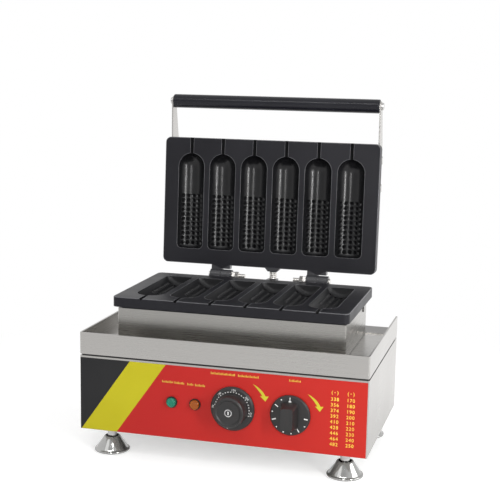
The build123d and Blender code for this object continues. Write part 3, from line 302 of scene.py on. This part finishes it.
def tinted_lens(name, deep, bright):
    """Moulded lamp lens: clear tinted plastic over slanted ribs."""
    finish = Finish(name, IOR=1.49, **{"Transmission Weight": 0.2, "Specular IOR Level": 0.35})
    ribs = finish.add(
        "ShaderNodeTexWave",
        {"bands_direction": "DIAGONAL"},
        {"Vector": finish.place, "Scale": 170.0, "Distortion": 0.4},
    ).outputs["Fac"]
    finish.bump(ribs, 0.35, 0.0004)
    return finish.set(
        Base_Color=finish.ramp(ribs, (0.0, deep), (1.0, bright)), Roughness=finish.range(ribs, 0.12, 0.24)
    )


coating = (0.0120, 0.0118, 0.0150)
sheet_steel = (0.56, 0.545, 0.525)
slot_finishes = {
    "stainless": brushed_steel("stainless", sheet_steel),
    "nonstick_black": cast_coating("nonstick_black", coating, 0.34, 0.44, 0.05, 0.22),
    "plated_steel": bright_plate("plated_steel", (0.62, 0.61, 0.60), 0.14, 0.24),
    "dark_screw": plain_metal("dark_screw", (0.06, 0.055, 0.05), (0.14, 0.13, 0.12), 90.0, 0.35, 0.5),
    "heater_tube": plain_metal("heater_tube", (0.20, 0.15, 0.12), (0.42, 0.38, 0.35), 30.0, 0.35, 0.55),
    "insulation_wool": wool(),
    "copper_sensor": plain_metal("copper_sensor", (0.62, 0.30, 0.18), (0.86, 0.50, 0.34), 40.0, 0.2, 0.34),
    "brass_terminal": plain_metal("brass_terminal", (0.60, 0.42, 0.16), (0.84, 0.66, 0.32), 60.0, 0.2, 0.34),
    "panel_print": printed_sheet(),
    "knob_black": moulding("knob_black", (0.021, 0.020, 0.020), 0.32, 0.44, gloss=0.45),
    "knob_disc": dial_disc(),
    "grip_black": moulding("grip_black", (0.012, 0.012, 0.016), 0.17, 0.23, 500.0, 0.04, 0.3),
    "black_plastic": moulding("black_plastic", grey(0.018), 0.42, 0.55, gloss=0.3),
    "ceramic_white": moulding("ceramic_white", (0.78, 0.77, 0.73), 0.25, 0.4),
    "lens_green": tinted_lens("lens_green", (0.006, 0.14, 0.085), (0.016, 0.30, 0.19)),
    "lens_amber": tinted_lens("lens_amber", (0.26, 0.055, 0.003), (0.44, 0.11, 0.008)),
    "black_rubber": moulding("black_rubber", grey(0.018), 0.62, 0.8, 700.0, 0.25),
}
# Inside the lid's cavities the coating is made darker, which is painted shade in the hollows, and glossier.
cavity_shade_coating = cast_coating("nonstick_cavity_painted_shade", (0.0060, 0.0060, 0.0068), 0.20, 0.27, 0.02, 0.42)
# In the pockets and stick grooves the coating is made nearly black: painted shade in the recesses.
pocket_shade_coating = cast_coating("nonstick_pocket_painted_shade", (0.0035, 0.0035, 0.004), 0.5, 0.6, 0.01, 0.06)
lower_coating = cast_coating("nonstick_lower", (0.0125, 0.0125, 0.0135), 0.36, 0.46, 0.03, 0.25)
# On the hinge knuckles the coating is made lighter, which is painted light, and glossier.
knuckle_lit_coating = cast_coating("nonstick_knuckle_painted_light", (0.034, 0.034, 0.038), 0.20, 0.28, 0.03, 0.7)
# On the plates' rounded edges and on the mouth beads: a light grey coating that is a painted highlight.
edge_highlight_coating = cast_coating("nonstick_edge_painted_highlight", (0.085, 0.085, 0.092), 0.28, 0.38, 0.05, 0.5)
# The pedestal's steel is the housing's steel made darker: painted shade under the plates.
shaded_pedestal_steel = brushed_steel("shaded_pedestal_steel", (0.43, 0.42, 0.40))
# The drip tray's steel is darker on its floor as painted shade; the rear cover's steel is much darker on its top.
tray_steel = brushed_steel("tray_steel", sheet_steel, 0.2)
deck_steel = brushed_steel("deck_steel", sheet_steel, 0.74)
hinge_steel = bright_plate("hinge_steel", (0.72, 0.70, 0.67), 0.34, 0.44)
foot_chrome = bright_plate("foot_chrome", (0.50, 0.50, 0.49), 0.05, 0.10)
yellow_ink = moulding("yellow_ink", (0.90, 0.74, 0.07), 0.35, 0.45)
arrow_ink = moulding("arrow_ink", (0.54, 0.49, 0.018), 0.35, 0.45)
sign_ink = moulding("sign_ink", (0.66, 0.44, 0.045), 0.35, 0.45)
white_ink = moulding("white_ink", (0.78, 0.78, 0.76), 0.35, 0.45)

node_finishes = {
    "pedestal": shaded_pedestal_steel,
    "drip_tray": tray_steel,
    "rear_cover": deck_steel,
    "hinge_pins": hinge_steel,
    "hinge_nuts": hinge_steel,
}
for part in frame["record"]["subparts"]:
    mesh = nodes[part["node"]].data
    mesh.materials.clear()
    mesh.materials.append(node_finishes.get(part["node"], slot_finishes[part["material_slot"]]))


# Shapes: rings of points that are joined, closed and put into the scene as pieces
weld_distance = 0.001 * mm


def bridge(shape, first, second):
    """Joins two rings of points with a band of faces; a ring may be one point, repeated."""
    count = len(first)
    for i in range(count):
        j = (i + 1) % count
        shape.faces.new(list(dict.fromkeys((first[i], first[j], second[j], second[i]))))


def loft(shape, rings):
    """Joins rings of points into a closed skin with a flat face at each end."""
    for first, second in zip(rings, rings[1:]):
        bridge(shape, first, second)
    shape.faces.new(rings[0][::-1])
    shape.faces.new(rings[-1])


def mesh_from(name, shape):
    mesh = bpy.data.meshes.new(name)
    shape.to_mesh(mesh)
    shape.free()
    return mesh


def skin_from(name, shape):
    """The mesh of a closed shape, with all its faces turned outward."""
    bmesh.ops.recalc_face_normals(shape, faces=shape.faces)
    return mesh_from(name, shape)


def smooth_below(mesh, degrees):
    """Shades a mesh smooth, with a sharp edge wherever its faces meet at more than the given angle."""
    mesh.shade_smooth()
    mesh.set_sharp_from_angle(angle=radians(degrees))


def evaluated_mesh(thing):
    """The mesh of an object with its modifiers, or of a text, as it is at this moment."""
    bpy.context.view_layer.update()
    return bpy.data.meshes.new_from_object(thing.evaluated_get(bpy.context.evaluated_depsgraph_get()))


def finished_piece(name, mesh, body, slot, *materials):
    """Puts a mesh into the scene as a named piece that moves with one CAD body."""
    piece = link(bpy.data.objects.new(name, mesh))
    for material in materials:
        mesh.materials.append(material)
    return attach(piece, body)


def closed_copy(node):
    """The node's mesh with its split edges joined again."""
    shape = bmesh.new()
    shape.from_mesh(nodes[node].data)
    bmesh.ops.remove_doubles(shape, verts=shape.verts, dist=weld_distance)
    for face in shape.faces:
        face.material_index = 0
    return mesh_from(node + "_copy", shape)


# Cooking plates: the CAD castings with rows of waffle pockets cut into the hinge half of each cavity
plate_front_y, plate_rear_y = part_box("lower_plate")[0].y, 88.4643 * mm
lower_face_z, plate_gap = 220.0 * mm, 0.6 * mm
lid_face_z = lower_face_z + plate_gap

cavity_count, cavity_pitch = 6, 49.2 * mm
cavity_xs = [(place - (cavity_count - 1) / 2) * cavity_pitch for place in range(cavity_count)]
cavity_width, cavity_depth = 41.0 * mm, 15.0 * mm
cavity_front_margin, cavity_rear_margin, mouth_corner = 23.3 * mm, 22.5 * mm, 7.0 * mm
groove_half, edge_radius = 2.4 * mm, 1.0 * mm
mouth_radius = cavity_width / 2
lens_radius = (mouth_radius**2 + cavity_depth**2) / (2 * cavity_depth)
lens_rise = lens_radius - cavity_depth
cavity_front_y = plate_front_y + cavity_front_margin
cavity_rear_y = plate_rear_y - cavity_rear_margin
dome_y = cavity_front_y + mouth_radius

pocket_rows, row_pitch = 11, 7.25 * mm
pocket_columns, column_pitch = 5, 8.0 * mm
pocket_first, pocket_wide, pocket_narrow = 30.3 * mm, 6.0 * mm, 3.4 * mm
pocket_depth, pocket_chamfer, pocket_clear = 2.0 * mm, 1.3 * mm, 0.3 * mm

# Finishes of a plate, in the order of its material slots, and the limits that sort its faces
# The pocket finish is painted shade, the knuckle finish painted light, the edge finish a painted highlight, and on
# the lid the inner finish is painted shade too.
face_finish, inner_finish, pocket_shade_finish, knuckle_lit_finish, edge_highlight_finish = range(5)
skin = 0.1 * mm
flat_cosine, aligned_cosine, deep_share = 0.9995, 0.9, 0.8


def opened(point):
    """Where a point of the shut lid lies at rest, with the lid open."""
    return hinge_point + Matrix.Rotation(-open_turn, 3, "X") @ (Vector(point) - hinge_point)


def as_drawn(point):
    return Vector(point)


def chamfered_square(side):
    half, cut = side / 2, pocket_chamfer * side / pocket_wide
    corners = []
    for across, along in ((1, 1), (-1, 1), (-1, -1), (1, -1)):
        pair = [(across * half, along * (half - cut)), (across * (half - cut), along * half)]
        corners += pair if across * along > 0 else pair[::-1]
    return corners


def pocket_cutters(face_z, side, placed):
    """Tapered blocks that cut one plate's pockets; side is -1 where the metal lies below its face."""
    axis_z = face_z - side * lens_rise
    slope = (pocket_wide - pocket_narrow) / pocket_depth
    ends = ((-pocket_clear, pocket_wide + slope * pocket_clear), (pocket_depth, pocket_narrow))
    along = Vector((0, 1, 0))
    shape = bmesh.new()
    for x, row, column in product(cavity_xs, range(pocket_rows), range(pocket_columns)):
        y = plate_rear_y - pocket_first - row * row_pitch
        turn = (column - (pocket_columns - 1) / 2) * column_pitch / lens_radius
        outward = Vector((sin(turn), 0, side * cos(turn)))
        across = Vector((cos(turn), 0, -side * sin(turn)))
        rings = []
        for reach, width in ends:
            middle = Vector((x, y, axis_z)) + outward * (lens_radius + reach)
            rings.append([
                shape.verts.new(placed(middle + across * u + along * v)) for u, v in chamfered_square(width)
            ])
        loft(shape, rings)
    return link(bpy.data.objects.new("pocket_cutters", skin_from("pocket_cutters", shape)))


def cut_casting(name, node, cutter):
    """The node's mesh with the cutter's blocks taken out of it. The cutter is used up."""
    blank = link(bpy.data.objects.new(name + "_blank", closed_copy(node)))
    cut = blank.modifiers.new("pockets", "BOOLEAN")
    cut.operation, cut.solver, cut.object = "DIFFERENCE", "EXACT", cutter
    mesh = evaluated_mesh(blank)
    mesh.name = name
    bpy.data.objects.remove(blank)
    bpy.data.objects.remove(cutter)
    mesh.materials.clear()
    return mesh


def waffle_plate(name, node, body, face_z, side, placed, inner_coating):
    """One cooking plate with its pockets, its finishes and evenly curved cavities."""
    axis_z = face_z - side * lens_rise
    back = Matrix.Rotation(open_turn, 3, "X") if placed is opened else Matrix.Identity(3)

    def shut(point):
        """Where a point at rest lies with the lid shut."""
        return hinge_point + back @ (point - hinge_point)

    def nearest_axis(spot):
        return min(cavity_xs, key=lambda x: abs(spot.x - x))

    def inward(point, x):
        """The way from a point on the wall of the cavity at x to the centre of its curve."""
        return Vector((x, max(point.y, dome_y), axis_z)) - point

    mesh = cut_casting(name, node, pocket_cutters(face_z, side, placed))
    piece = finished_piece(
        name, mesh, body, "nonstick_black",
        slot_finishes["nonstick_black"], inner_coating, pocket_shade_coating, knuckle_lit_coating, edge_highlight_coating,
    )
    smooth_below(mesh, 25)
    for polygon in mesh.polygons:
        spot = shut(polygon.center)
        x = nearest_axis(spot)
        from_axis = hypot(spot.x - x, spot.z - axis_z)
        below_face = side * (spot.z - face_z)
        sunk = skin < below_face
        within = cavity_front_y < spot.y < cavity_rear_y + skin
        inside = sunk and within and from_axis < lens_radius + pocket_depth + skin
        in_channel = abs(spot.x - x) < groove_half + skin and spot.y > plate_front_y + skin
        flat = max(abs(part) for part in back @ polygon.normal) > flat_cosine
        # Knuckles get painted light, pockets and grooves painted shade, and rounded edges a painted highlight.
        if spot.y > plate_rear_y + skin:
            finish = knuckle_lit_finish
        elif inside and from_axis <= lens_radius + deep_share * pocket_depth:
            finish = inner_finish
        elif inside or (sunk and in_channel and not within):
            finish = pocket_shade_finish
        elif not flat and 0 < below_face < edge_radius + skin:
            finish = edge_highlight_finish
        else:
            finish = face_finish
        polygon.material_index = finish
        polygon.use_smooth = inside or not flat

    normals = [Vector(corner.vector) for corner in mesh.corner_normals]
    for polygon in mesh.polygons:
        if polygon.material_index != inner_finish:
            continue
        spot = shut(polygon.center)
        x = nearest_axis(spot)
        way = inward(spot, x)
        on_wall = abs(way.length - lens_radius) <= 2 * skin
        if not on_wall or (back @ polygon.normal).dot(way.normalized()) < aligned_cosine:
            continue
        for corner in polygon.loop_indices:
            point = shut(mesh.vertices[mesh.loops[corner].vertex_index].co)
            normals[corner] = back.inverted() @ inward(point, x).normalized()
    mesh.normals_split_custom_set(normals)
    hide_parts(node)


waffle_plate("lower_waffle_plate", "lower_plate", "base", lower_face_z, -1, as_drawn, lower_coating)
waffle_plate("upper_waffle_plate", "upper_plate", "lid", lid_face_z, 1, opened, cavity_shade_coating)


# Rims of the cavities: a thin bead round each mouth and along both edges of its stick groove, in a light grey
# coating that is a painted highlight
bead_radius, bead_drop = 0.35 * mm, 0.15 * mm
bead_sides, dome_steps, corner_steps = 8, 16, 8


def mouth_line(x):
    """Points along one groove and round its mouth, in the shut plates' plan."""
    start = atan2(groove_half + bead_radius, mouth_radius)
    points = [(x + groove_half + bead_radius, plate_front_y + edge_radius)]
    for i in range(dome_steps + 1):
        turn = -pi / 2 + start + (pi / 2 - start) * i / dome_steps
        points.append((x + mouth_radius * cos(turn), dome_y + mouth_radius * sin(turn)))
    for i in range(corner_steps + 1):
        turn = pi / 2 * i / corner_steps
        points.append((
            x + mouth_radius - mouth_corner + mouth_corner * cos(turn),
            cavity_rear_y - mouth_corner + mouth_corner * sin(turn),
        ))
    return points + [(2 * x - u, v) for u, v in points[::-1]]


def mouth_beads(name, body, face_z, side, placed):
    up = Vector((0, 0, 1))
    shape = bmesh.new()
    for x in cavity_xs:
        line = [Vector((u, v, face_z + side * bead_drop)) for u, v in mouth_line(x)]
        rings = []
        for i, point in enumerate(line):
            ahead = (line[min(i + 1, len(line) - 1)] - line[max(i - 1, 0)]).normalized()
            aside = ahead.cross(up)
            ring = []
            for step in range(bead_sides):
                turn = 2 * pi * step / bead_sides
                offset = aside * cos(turn) + up * sin(turn)
                ring.append(shape.verts.new(placed(point + offset * bead_radius)))
            rings.append(ring)
        loft(shape, rings)
    mesh = skin_from(name, shape)
    mesh.shade_smooth()
    finished_piece(name, mesh, body, "nonstick_black", edge_highlight_coating)


mouth_beads("lower_mouth_rims", "base", lower_face_z, -1, as_drawn)
mouth_beads("upper_mouth_rims", "lid", lid_face_z, 1, opened)


# Conduit between the lugs: a copy of the CAD piece
def bending_conduit():
    conduit = link(bpy.data.objects.new("bending_conduit", closed_copy("wire_conduit")))
    conduit.data.materials.append(hinge_steel)
    smooth_below(conduit.data, 40)
    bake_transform(conduit)
    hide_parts("wire_conduit")


bending_conduit()


# Feet: turned bells with a rolled lip, in the space of the CAD feet; radius and height in millimetres
foot_rim = 24.8
foot_turns = 48
foot_outline = (
    (0.0, 3.6), (23.2, 3.6), (23.2, 0.6), (24.2, 0.65), (24.65, 1.0), (foot_rim, 1.6), (foot_rim, 2.5),
    (24.6, 3.1), (24.0, 3.5), (23.0, 3.7), (22.3, 4.0), (21.9, 4.5), (21.2, 5.5), (19.6, 8.0), (17.9, 10.6),
    (16.0, 13.4), (14.2, 16.1), (12.8, 18.4), (11.8, 20.0), (11.2, 20.7), (10.4, 21.0), (9.2, 21.0),
    (21.0, 5.0), (0.0, 5.0),
)


def foot_ring(shape, x, y, radius, z):
    """A ring of points about a foot's axis, which is one point, repeated, where the radius is zero."""
    if not radius:
        return [shape.verts.new((x, y, z))] * foot_turns
    turns = [2 * pi * i / foot_turns for i in range(foot_turns)]
    return [shape.verts.new((x + radius * cos(turn), y + radius * sin(turn), z)) for turn in turns]


def turned_feet():
    low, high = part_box("feet")
    inset = foot_rim * mm
    shape = bmesh.new()
    for x, y in product((low.x + inset, high.x - inset), (low.y + inset, high.y - inset)):
        rings = [foot_ring(shape, x, y, radius * mm, z * mm) for radius, z in foot_outline]
        for first, second in zip(rings, rings[1:]):
            bridge(shape, first, second)
    mesh = skin_from("turned_feet", shape)
    smooth_below(mesh, 50)
    piece = finished_piece("turned_feet", mesh, "base", "plated_steel", foot_chrome)
    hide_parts("feet")


turned_feet()


# Print on the front sheet and dials: thin raised shapes, drawn in millimetres in the panel's plane
panel_face_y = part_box("control_panel")[0].y
print_height, print_sunk = 0.12 * mm, 0.03 * mm
figure_spacing, figure_steps, figure_weld = 1.18, 3, 0.0005 * mm


def facing_front(u, v, depth):
    """A point u to the right, v up and depth in front of the x-z plane, all in metres."""
    return Vector((u, -depth, v))


def raised_shapes(name, outlines, face_y, body, slot, material):
    """Closed thin prisms from outlines in millimetres that stand on the plane y = face_y."""
    shape = bmesh.new()
    for outline in outlines:
        loft(shape, [
            [shape.verts.new(facing_front(u * mm, v * mm, depth - face_y)) for u, v in outline]
            for depth in (-print_sunk, print_height)
        ])
    finished_piece(name, skin_from(name, shape), body, slot, material)


def figures(name, labels, size, face_y, body, slot, material):
    """Figures as thin raised shapes; each label is (text, u, v, turn in degrees), in millimetres."""
    shape = bmesh.new()
    for text, u, v, turn in labels:
        curve = bpy.data.curves.new("figure", "FONT")
        curve.body, curve.size = text, size * mm
        curve.align_x, curve.align_y = "CENTER", "CENTER"
        curve.space_character = figure_spacing
        curve.resolution_u = figure_steps
        curve.extrude = (print_height + print_sunk) / 2
        holder = link(bpy.data.objects.new("figure", curve))
        holder.matrix_world = (
            Matrix.Translation(facing_front(u * mm, v * mm, (print_height - print_sunk) / 2 - face_y))
            @ Matrix.Rotation(pi / 2, 4, "X")
            @ Matrix.Rotation(radians(turn), 4, "Z")
        )
        mesh = evaluated_mesh(holder)
        mesh.transform(holder.matrix_world)
        shape.from_mesh(mesh)
        bpy.data.objects.remove(holder)
    bmesh.ops.remove_doubles(shape, verts=shape.verts, dist=figure_weld)
    mesh = mesh_from(name, shape)
    mesh.materials.clear()
    finished_piece(name, mesh, body, slot, material)


def around(middle, radius, turn):
    """The point at a radius from the middle, turned in degrees from the right."""
    u, v = middle
    return u + radius * cos(radians(turn)), v + radius * sin(radians(turn))


def disc(middle, radius, sides=14):
    return [around(middle, radius, 360 * i / sides) for i in range(sides)]


def bar(middle, width, height, turn=0.0):
    u, v = middle
    c, s = cos(radians(turn)), sin(radians(turn))
    corners = [(a * width / 2, b * height / 2) for a, b in ((-1, -1), (1, -1), (1, 1), (-1, 1))]
    return [(u + a * c - b * s, v + a * s + b * c) for a, b in corners]


def bowed_side(start, end, bow, steps=8):
    """Points on a curve from start to end that bends up and to the right, more for a larger bow."""
    bend = ((start[0] + end[0] + bow) / 2, (start[1] + end[1] + bow) / 2)
    return [
        tuple((1 - t) ** 2 * a + 2 * t * (1 - t) * b + t**2 * c for a, b, c in zip(start, bend, end))
        for t in (i / steps for i in range(steps + 1))
    ]


def swoosh(tail, tip, barbs, shoulders, inner_bow=2.0, outer_bow=6.0):
    """Curved arrow: a crescent from its pointed tail to the shoulders, with a wide head."""
    left, right = shoulders
    head = [barbs[0], tip, barbs[1]]
    return bowed_side(tail, left, inner_bow) + head + bowed_side(tail, right, outer_bow)[:0:-1]


# Number table: two columns with nine rows each, and brackets over each column
table_top, table_pitch, table_size, bracket_rise = 113.7, 7.6, 6.5, 9.0
columns = ((156.0, range(338, 483, 18)), (177.0, range(170, 251, 10)))
figures(
    "panel_table",
    [
        (str(number), u, table_top - row * table_pitch, 0)
        for u, numbers in columns
        for row, number in enumerate(numbers)
    ] + [("(  )", u, table_top + bracket_rise, 0) for u, _ in columns],
    table_size, panel_face_y, "base", "panel_print", yellow_ink,
)

# Arrows beside the dials: each one's tail, its tip, the two barbs of its head and the two shoulders
arrows = (
    ((46.1, 123.8), (63.5, 101.7), ((55.9, 108.6), (67.7, 109.0)), ((59.3, 108.4), (63.6, 108.6))),
    ((120.1, 117.3), (136.7, 95.1), ((130.2, 101.9), (141.2, 102.2)), ((133.4, 101.8), (137.4, 102.0))),
)
raised_shapes(
    "panel_arrows", [swoosh(*arrow) for arrow in arrows], panel_face_y, "base", "panel_print", arrow_ink
)

# Small generic signs: rows of upright bars over the lamps and dials, and a dot in each pair of brackets
dot_in_brackets, dot_in_brackets_rise = 0.8, 9.2
sign_step, sign_width, sign_heights = 1.8, 0.95, (3.1, 2.1, 2.6)

# Each row's left end, the middle height of its tallest bars and its number of bars
sign_rows = (
    (-80.6, 116.3, 9), (-63.2, 115.9, 8), (-45.0, 115.5, 5), (-34.0, 115.2, 8),
    (-12.4, 133.9, 19), (25.2, 133.6, 16), (94.6, 133.5, 9),
)
sign_shapes = []
for start, v, count in sign_rows:
    for i in range(count):
        height = sign_heights[i % len(sign_heights)]
        middle = (start + (i + 0.5) * sign_step, v + (height - sign_heights[0]) / 2)
        sign_shapes.append(bar(middle, sign_width, height))
sign_shapes += [disc((u, table_top + dot_in_brackets_rise), dot_in_brackets) for u, _ in columns]
raised_shapes("panel_signs", sign_shapes, panel_face_y, "base", "panel_print", sign_ink)


def dial_middle(joint):
    """Where a knob's axis crosses the panel, in millimetres."""
    x, y, z = joints[joint]["pos_m"]
    return x / mm, z / mm


def dial_face(node, height):
    """The y of a dial's face, which is height millimetres in front of the knob's rear end."""
    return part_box(node)[1].y - height * mm


# Thermostat dial: a ring of dots with plain numbers outside it, and a short mark at the bottom
thermostat = dial_middle("thermostat_turn")
thermostat_face_y = dial_face("thermostat_knob", 4.5)
dot_ring, dot_radius, dot_sides = 23.6, 0.75, 10
dot_count, dot_first, dot_step = 22, 178.0, -9.3
number_ring, number_size, number_step = 26.2, 3.5, 50
number_turns = (176.0, 132.0, 86.0, 39.0, -10.0)
mark_across, mark_up, mark_length, mark_width, mark_turn = -6.0, -26.3, 2.0, 0.9, -12.0
dots = [
    disc(around(thermostat, dot_ring, dot_first + i * dot_step), dot_radius, dot_sides)
    for i in range(dot_count)
]
mark = (thermostat[0] + mark_across, thermostat[1] + mark_up)
dots.append(bar(mark, mark_length, mark_width, mark_turn))
raised_shapes("thermostat_dots", dots, thermostat_face_y, "thermostat_dial", "knob_black", white_ink)
figures(
    "thermostat_numbers",
    [
        (str(number_step * (i + 1)), *around(thermostat, number_ring, turn), turn - 90)
        for i, turn in enumerate(number_turns)
    ],
    number_size, thermostat_face_y, "thermostat_dial", "knob_black", white_ink,
)

# Timer dial: ticks by their turn, each with its length and width, and a disc under a line at the top
timer = dial_middle("timer_turn")
timer_face_y = dial_face("timer_knob", 4.0)
tick_outer = 24.6
long_tick, wide_tick, short_tick = (5.2, 1.1), (5.4, 1.7), (1.7, 1.5)
ticks = {
    119: short_tick, 145: long_tick, 170: short_tick, 196: wide_tick, 223: short_tick,
    250: short_tick, 276: short_tick, 302: long_tick, 328: short_tick, 353: wide_tick,
}
line_rise, line_width, line_height = 22.6, 1.0, 4.6
top_disc_rise, top_disc_radius = 19.2, 1.8
marks = [
    bar(around(timer, tick_outer - length / 2, turn), length, width, turn)
    for turn, (length, width) in ticks.items()
]
marks.append(bar((timer[0], timer[1] + line_rise), line_width, line_height))
marks.append(disc((timer[0], timer[1] + top_disc_rise), top_disc_radius))
raised_shapes("timer_marks", marks, timer_face_y, "timer_dial", "knob_black", white_ink)


# Stage: pale floor that keeps the contact shadow near the object and goes to plain white further out
seen_near, seen_far = 0.34, 0.75
mirrored_near, mirrored_far = 0.10, 0.42
mirrored_front, mirrored_back = 0.78, 1.15
front_y, back_y = -0.6, 0.2
shadow_lift = 0.42
floor_half = 12.0


def pale_floor():
    """The floor's material, which turns white nearer the middle for what the metal mirrors."""
    finish = Finish("pale_floor", Roughness=0.9, **{"Specular IOR Level": 0.1})
    away = finish.vector_math("LENGTH", finish.place)["Value"]
    far_seen = finish.range(away, 0.0, 1.0, seen_near, seen_far)
    far_mirrored = finish.range(away, 0.0, 1.0, mirrored_near, mirrored_far)
    grain = finish.noise(40.0, detail=2.0)
    finish.set(Base_Color=finish.ramp(grain, (0.3, grey(0.86)), (0.7, grey(0.88))))
    light = finish.add("ShaderNodeLightPath").outputs
    by_camera = light["Is Camera Ray"]
    seen = finish.math("MAXIMUM", by_camera, light["Is Glossy Ray"])
    seen = finish.math("MAXIMUM", seen, light["Is Transmission Ray"])
    mirrored = finish.range(finish.split(finish.place)["Y"], mirrored_front, mirrored_back, front_y, back_y)
    far = finish.range(by_camera, far_mirrored, far_seen, 0.0, 1.0)
    level = finish.range(by_camera, mirrored, 1.0, 0.0, 1.0)
    lift = finish.range(by_camera, 0.0, shadow_lift, 0.0, 1.0)
    white = finish.add("ShaderNodeEmission", inputs={"Color": (1, 1, 1, 1), "Strength": level})
    lifted = finish.add("ShaderNodeEmission", inputs={"Color": (1, 1, 1, 1), "Strength": lift})
    surface = finish.shader.outputs[0]
    near = finish.add("ShaderNodeAddShader", inputs={0: surface, 1: lifted.outputs[0]})
    spread = finish.add("ShaderNodeMixShader", inputs={"Fac": far, 1: near.outputs[0], 2: white.outputs[0]})
    whole = finish.add("ShaderNodeMixShader", inputs={"Fac": seen, 1: surface, 2: spread.outputs[0]})
    feed(finish.tree, finish.tree.nodes["Material Output"].inputs["Surface"], whole.outputs[0])
    return finish.material


def floor():
    shape = bmesh.new()
    shape.faces.new([shape.verts.new((x, y, 0)) for x, y in bar((0, 0), 2 * floor_half, 2 * floor_half)])
    mesh = mesh_from("floor", shape)
    mesh.materials.append(pale_floor())
    link(bpy.data.objects.new("floor", mesh))


floor()


# Light: an even studio surround, greyer towards the front for what metal reflects, and soft boxes
soft_level, front_level, back_level = 0.54, 0.45, 0.86
front_start, front_end = -0.95, -0.35


def studio_world():
    world = bpy.data.worlds.new("studio")
    bpy.context.scene.world = world
    world.use_nodes = True
    sky = world.node_tree
    sky.nodes.clear()

    def backdrop(strength):
        inputs = {"Color": (1, 1, 1, 1), "Strength": strength}
        return add_node(sky, "ShaderNodeBackground", inputs=inputs).outputs[0]

    def blend(factor, first, second):
        inputs = {"Fac": factor, 1: first, 2: second}
        return add_node(sky, "ShaderNodeMixShader", inputs=inputs).outputs[0]

    path = add_node(sky, "ShaderNodeLightPath").outputs
    towards = add_node(sky, "ShaderNodeTexCoord").outputs["Generated"]
    direction = add_node(sky, "ShaderNodeSeparateXYZ", inputs={"Vector": towards}).outputs
    mirrored_level = add_node(
        sky, "ShaderNodeMapRange", {"interpolation_type": "SMOOTHSTEP"},
        {
            "Value": direction["Y"], "From Min": front_start, "From Max": front_end,
            "To Min": front_level, "To Max": back_level,
        },
    ).outputs["Result"]
    plain_white = add_node(
        sky, "ShaderNodeMath", {"operation": "MAXIMUM"},
        {0: path["Is Camera Ray"], 1: path["Is Transmission Ray"]},
    ).outputs[0]
    surround = blend(path["Is Glossy Ray"], backdrop(soft_level), backdrop(mirrored_level))
    whole = blend(plain_white, surround, backdrop(1.0))
    add_node(sky, "ShaderNodeOutputWorld", inputs={"Surface": whole})


def soft_box(name, place, target, width, height, power):
    data = bpy.data.lights.new(name, "AREA")
    data.shape, data.size, data.size_y, data.energy = "RECTANGLE", width, height, power
    lamp = link(bpy.data.objects.new(name, data))
    lamp.location = place
    lamp.rotation_euler = (Vector(target) - Vector(place)).to_track_quat("-Z", "Y").to_euler()


studio_world()
soft_box("key_box", (-1.1, -1.7, 1.9), (0, 0, 0.2), 1.0, 1.0, 2.0)
soft_box("side_strip", (1.84, -1.44, 0.80), (0, 0, 0.3), 0.14, 1.40, 27.0)
soft_box("front_strip", (0.32, -2.55, 0.98), (0, 0, 0.3), 0.26, 1.25, 17.0)
soft_box("top_strip", (0.0, -1.75, 2.10), (0, 0, 0.3), 1.6, 0.10, 7.5)
soft_box("right_box", (1.9, 0.1, 0.9), (0.2, 0, 0.1), 1.2, 1.2, 13.0)
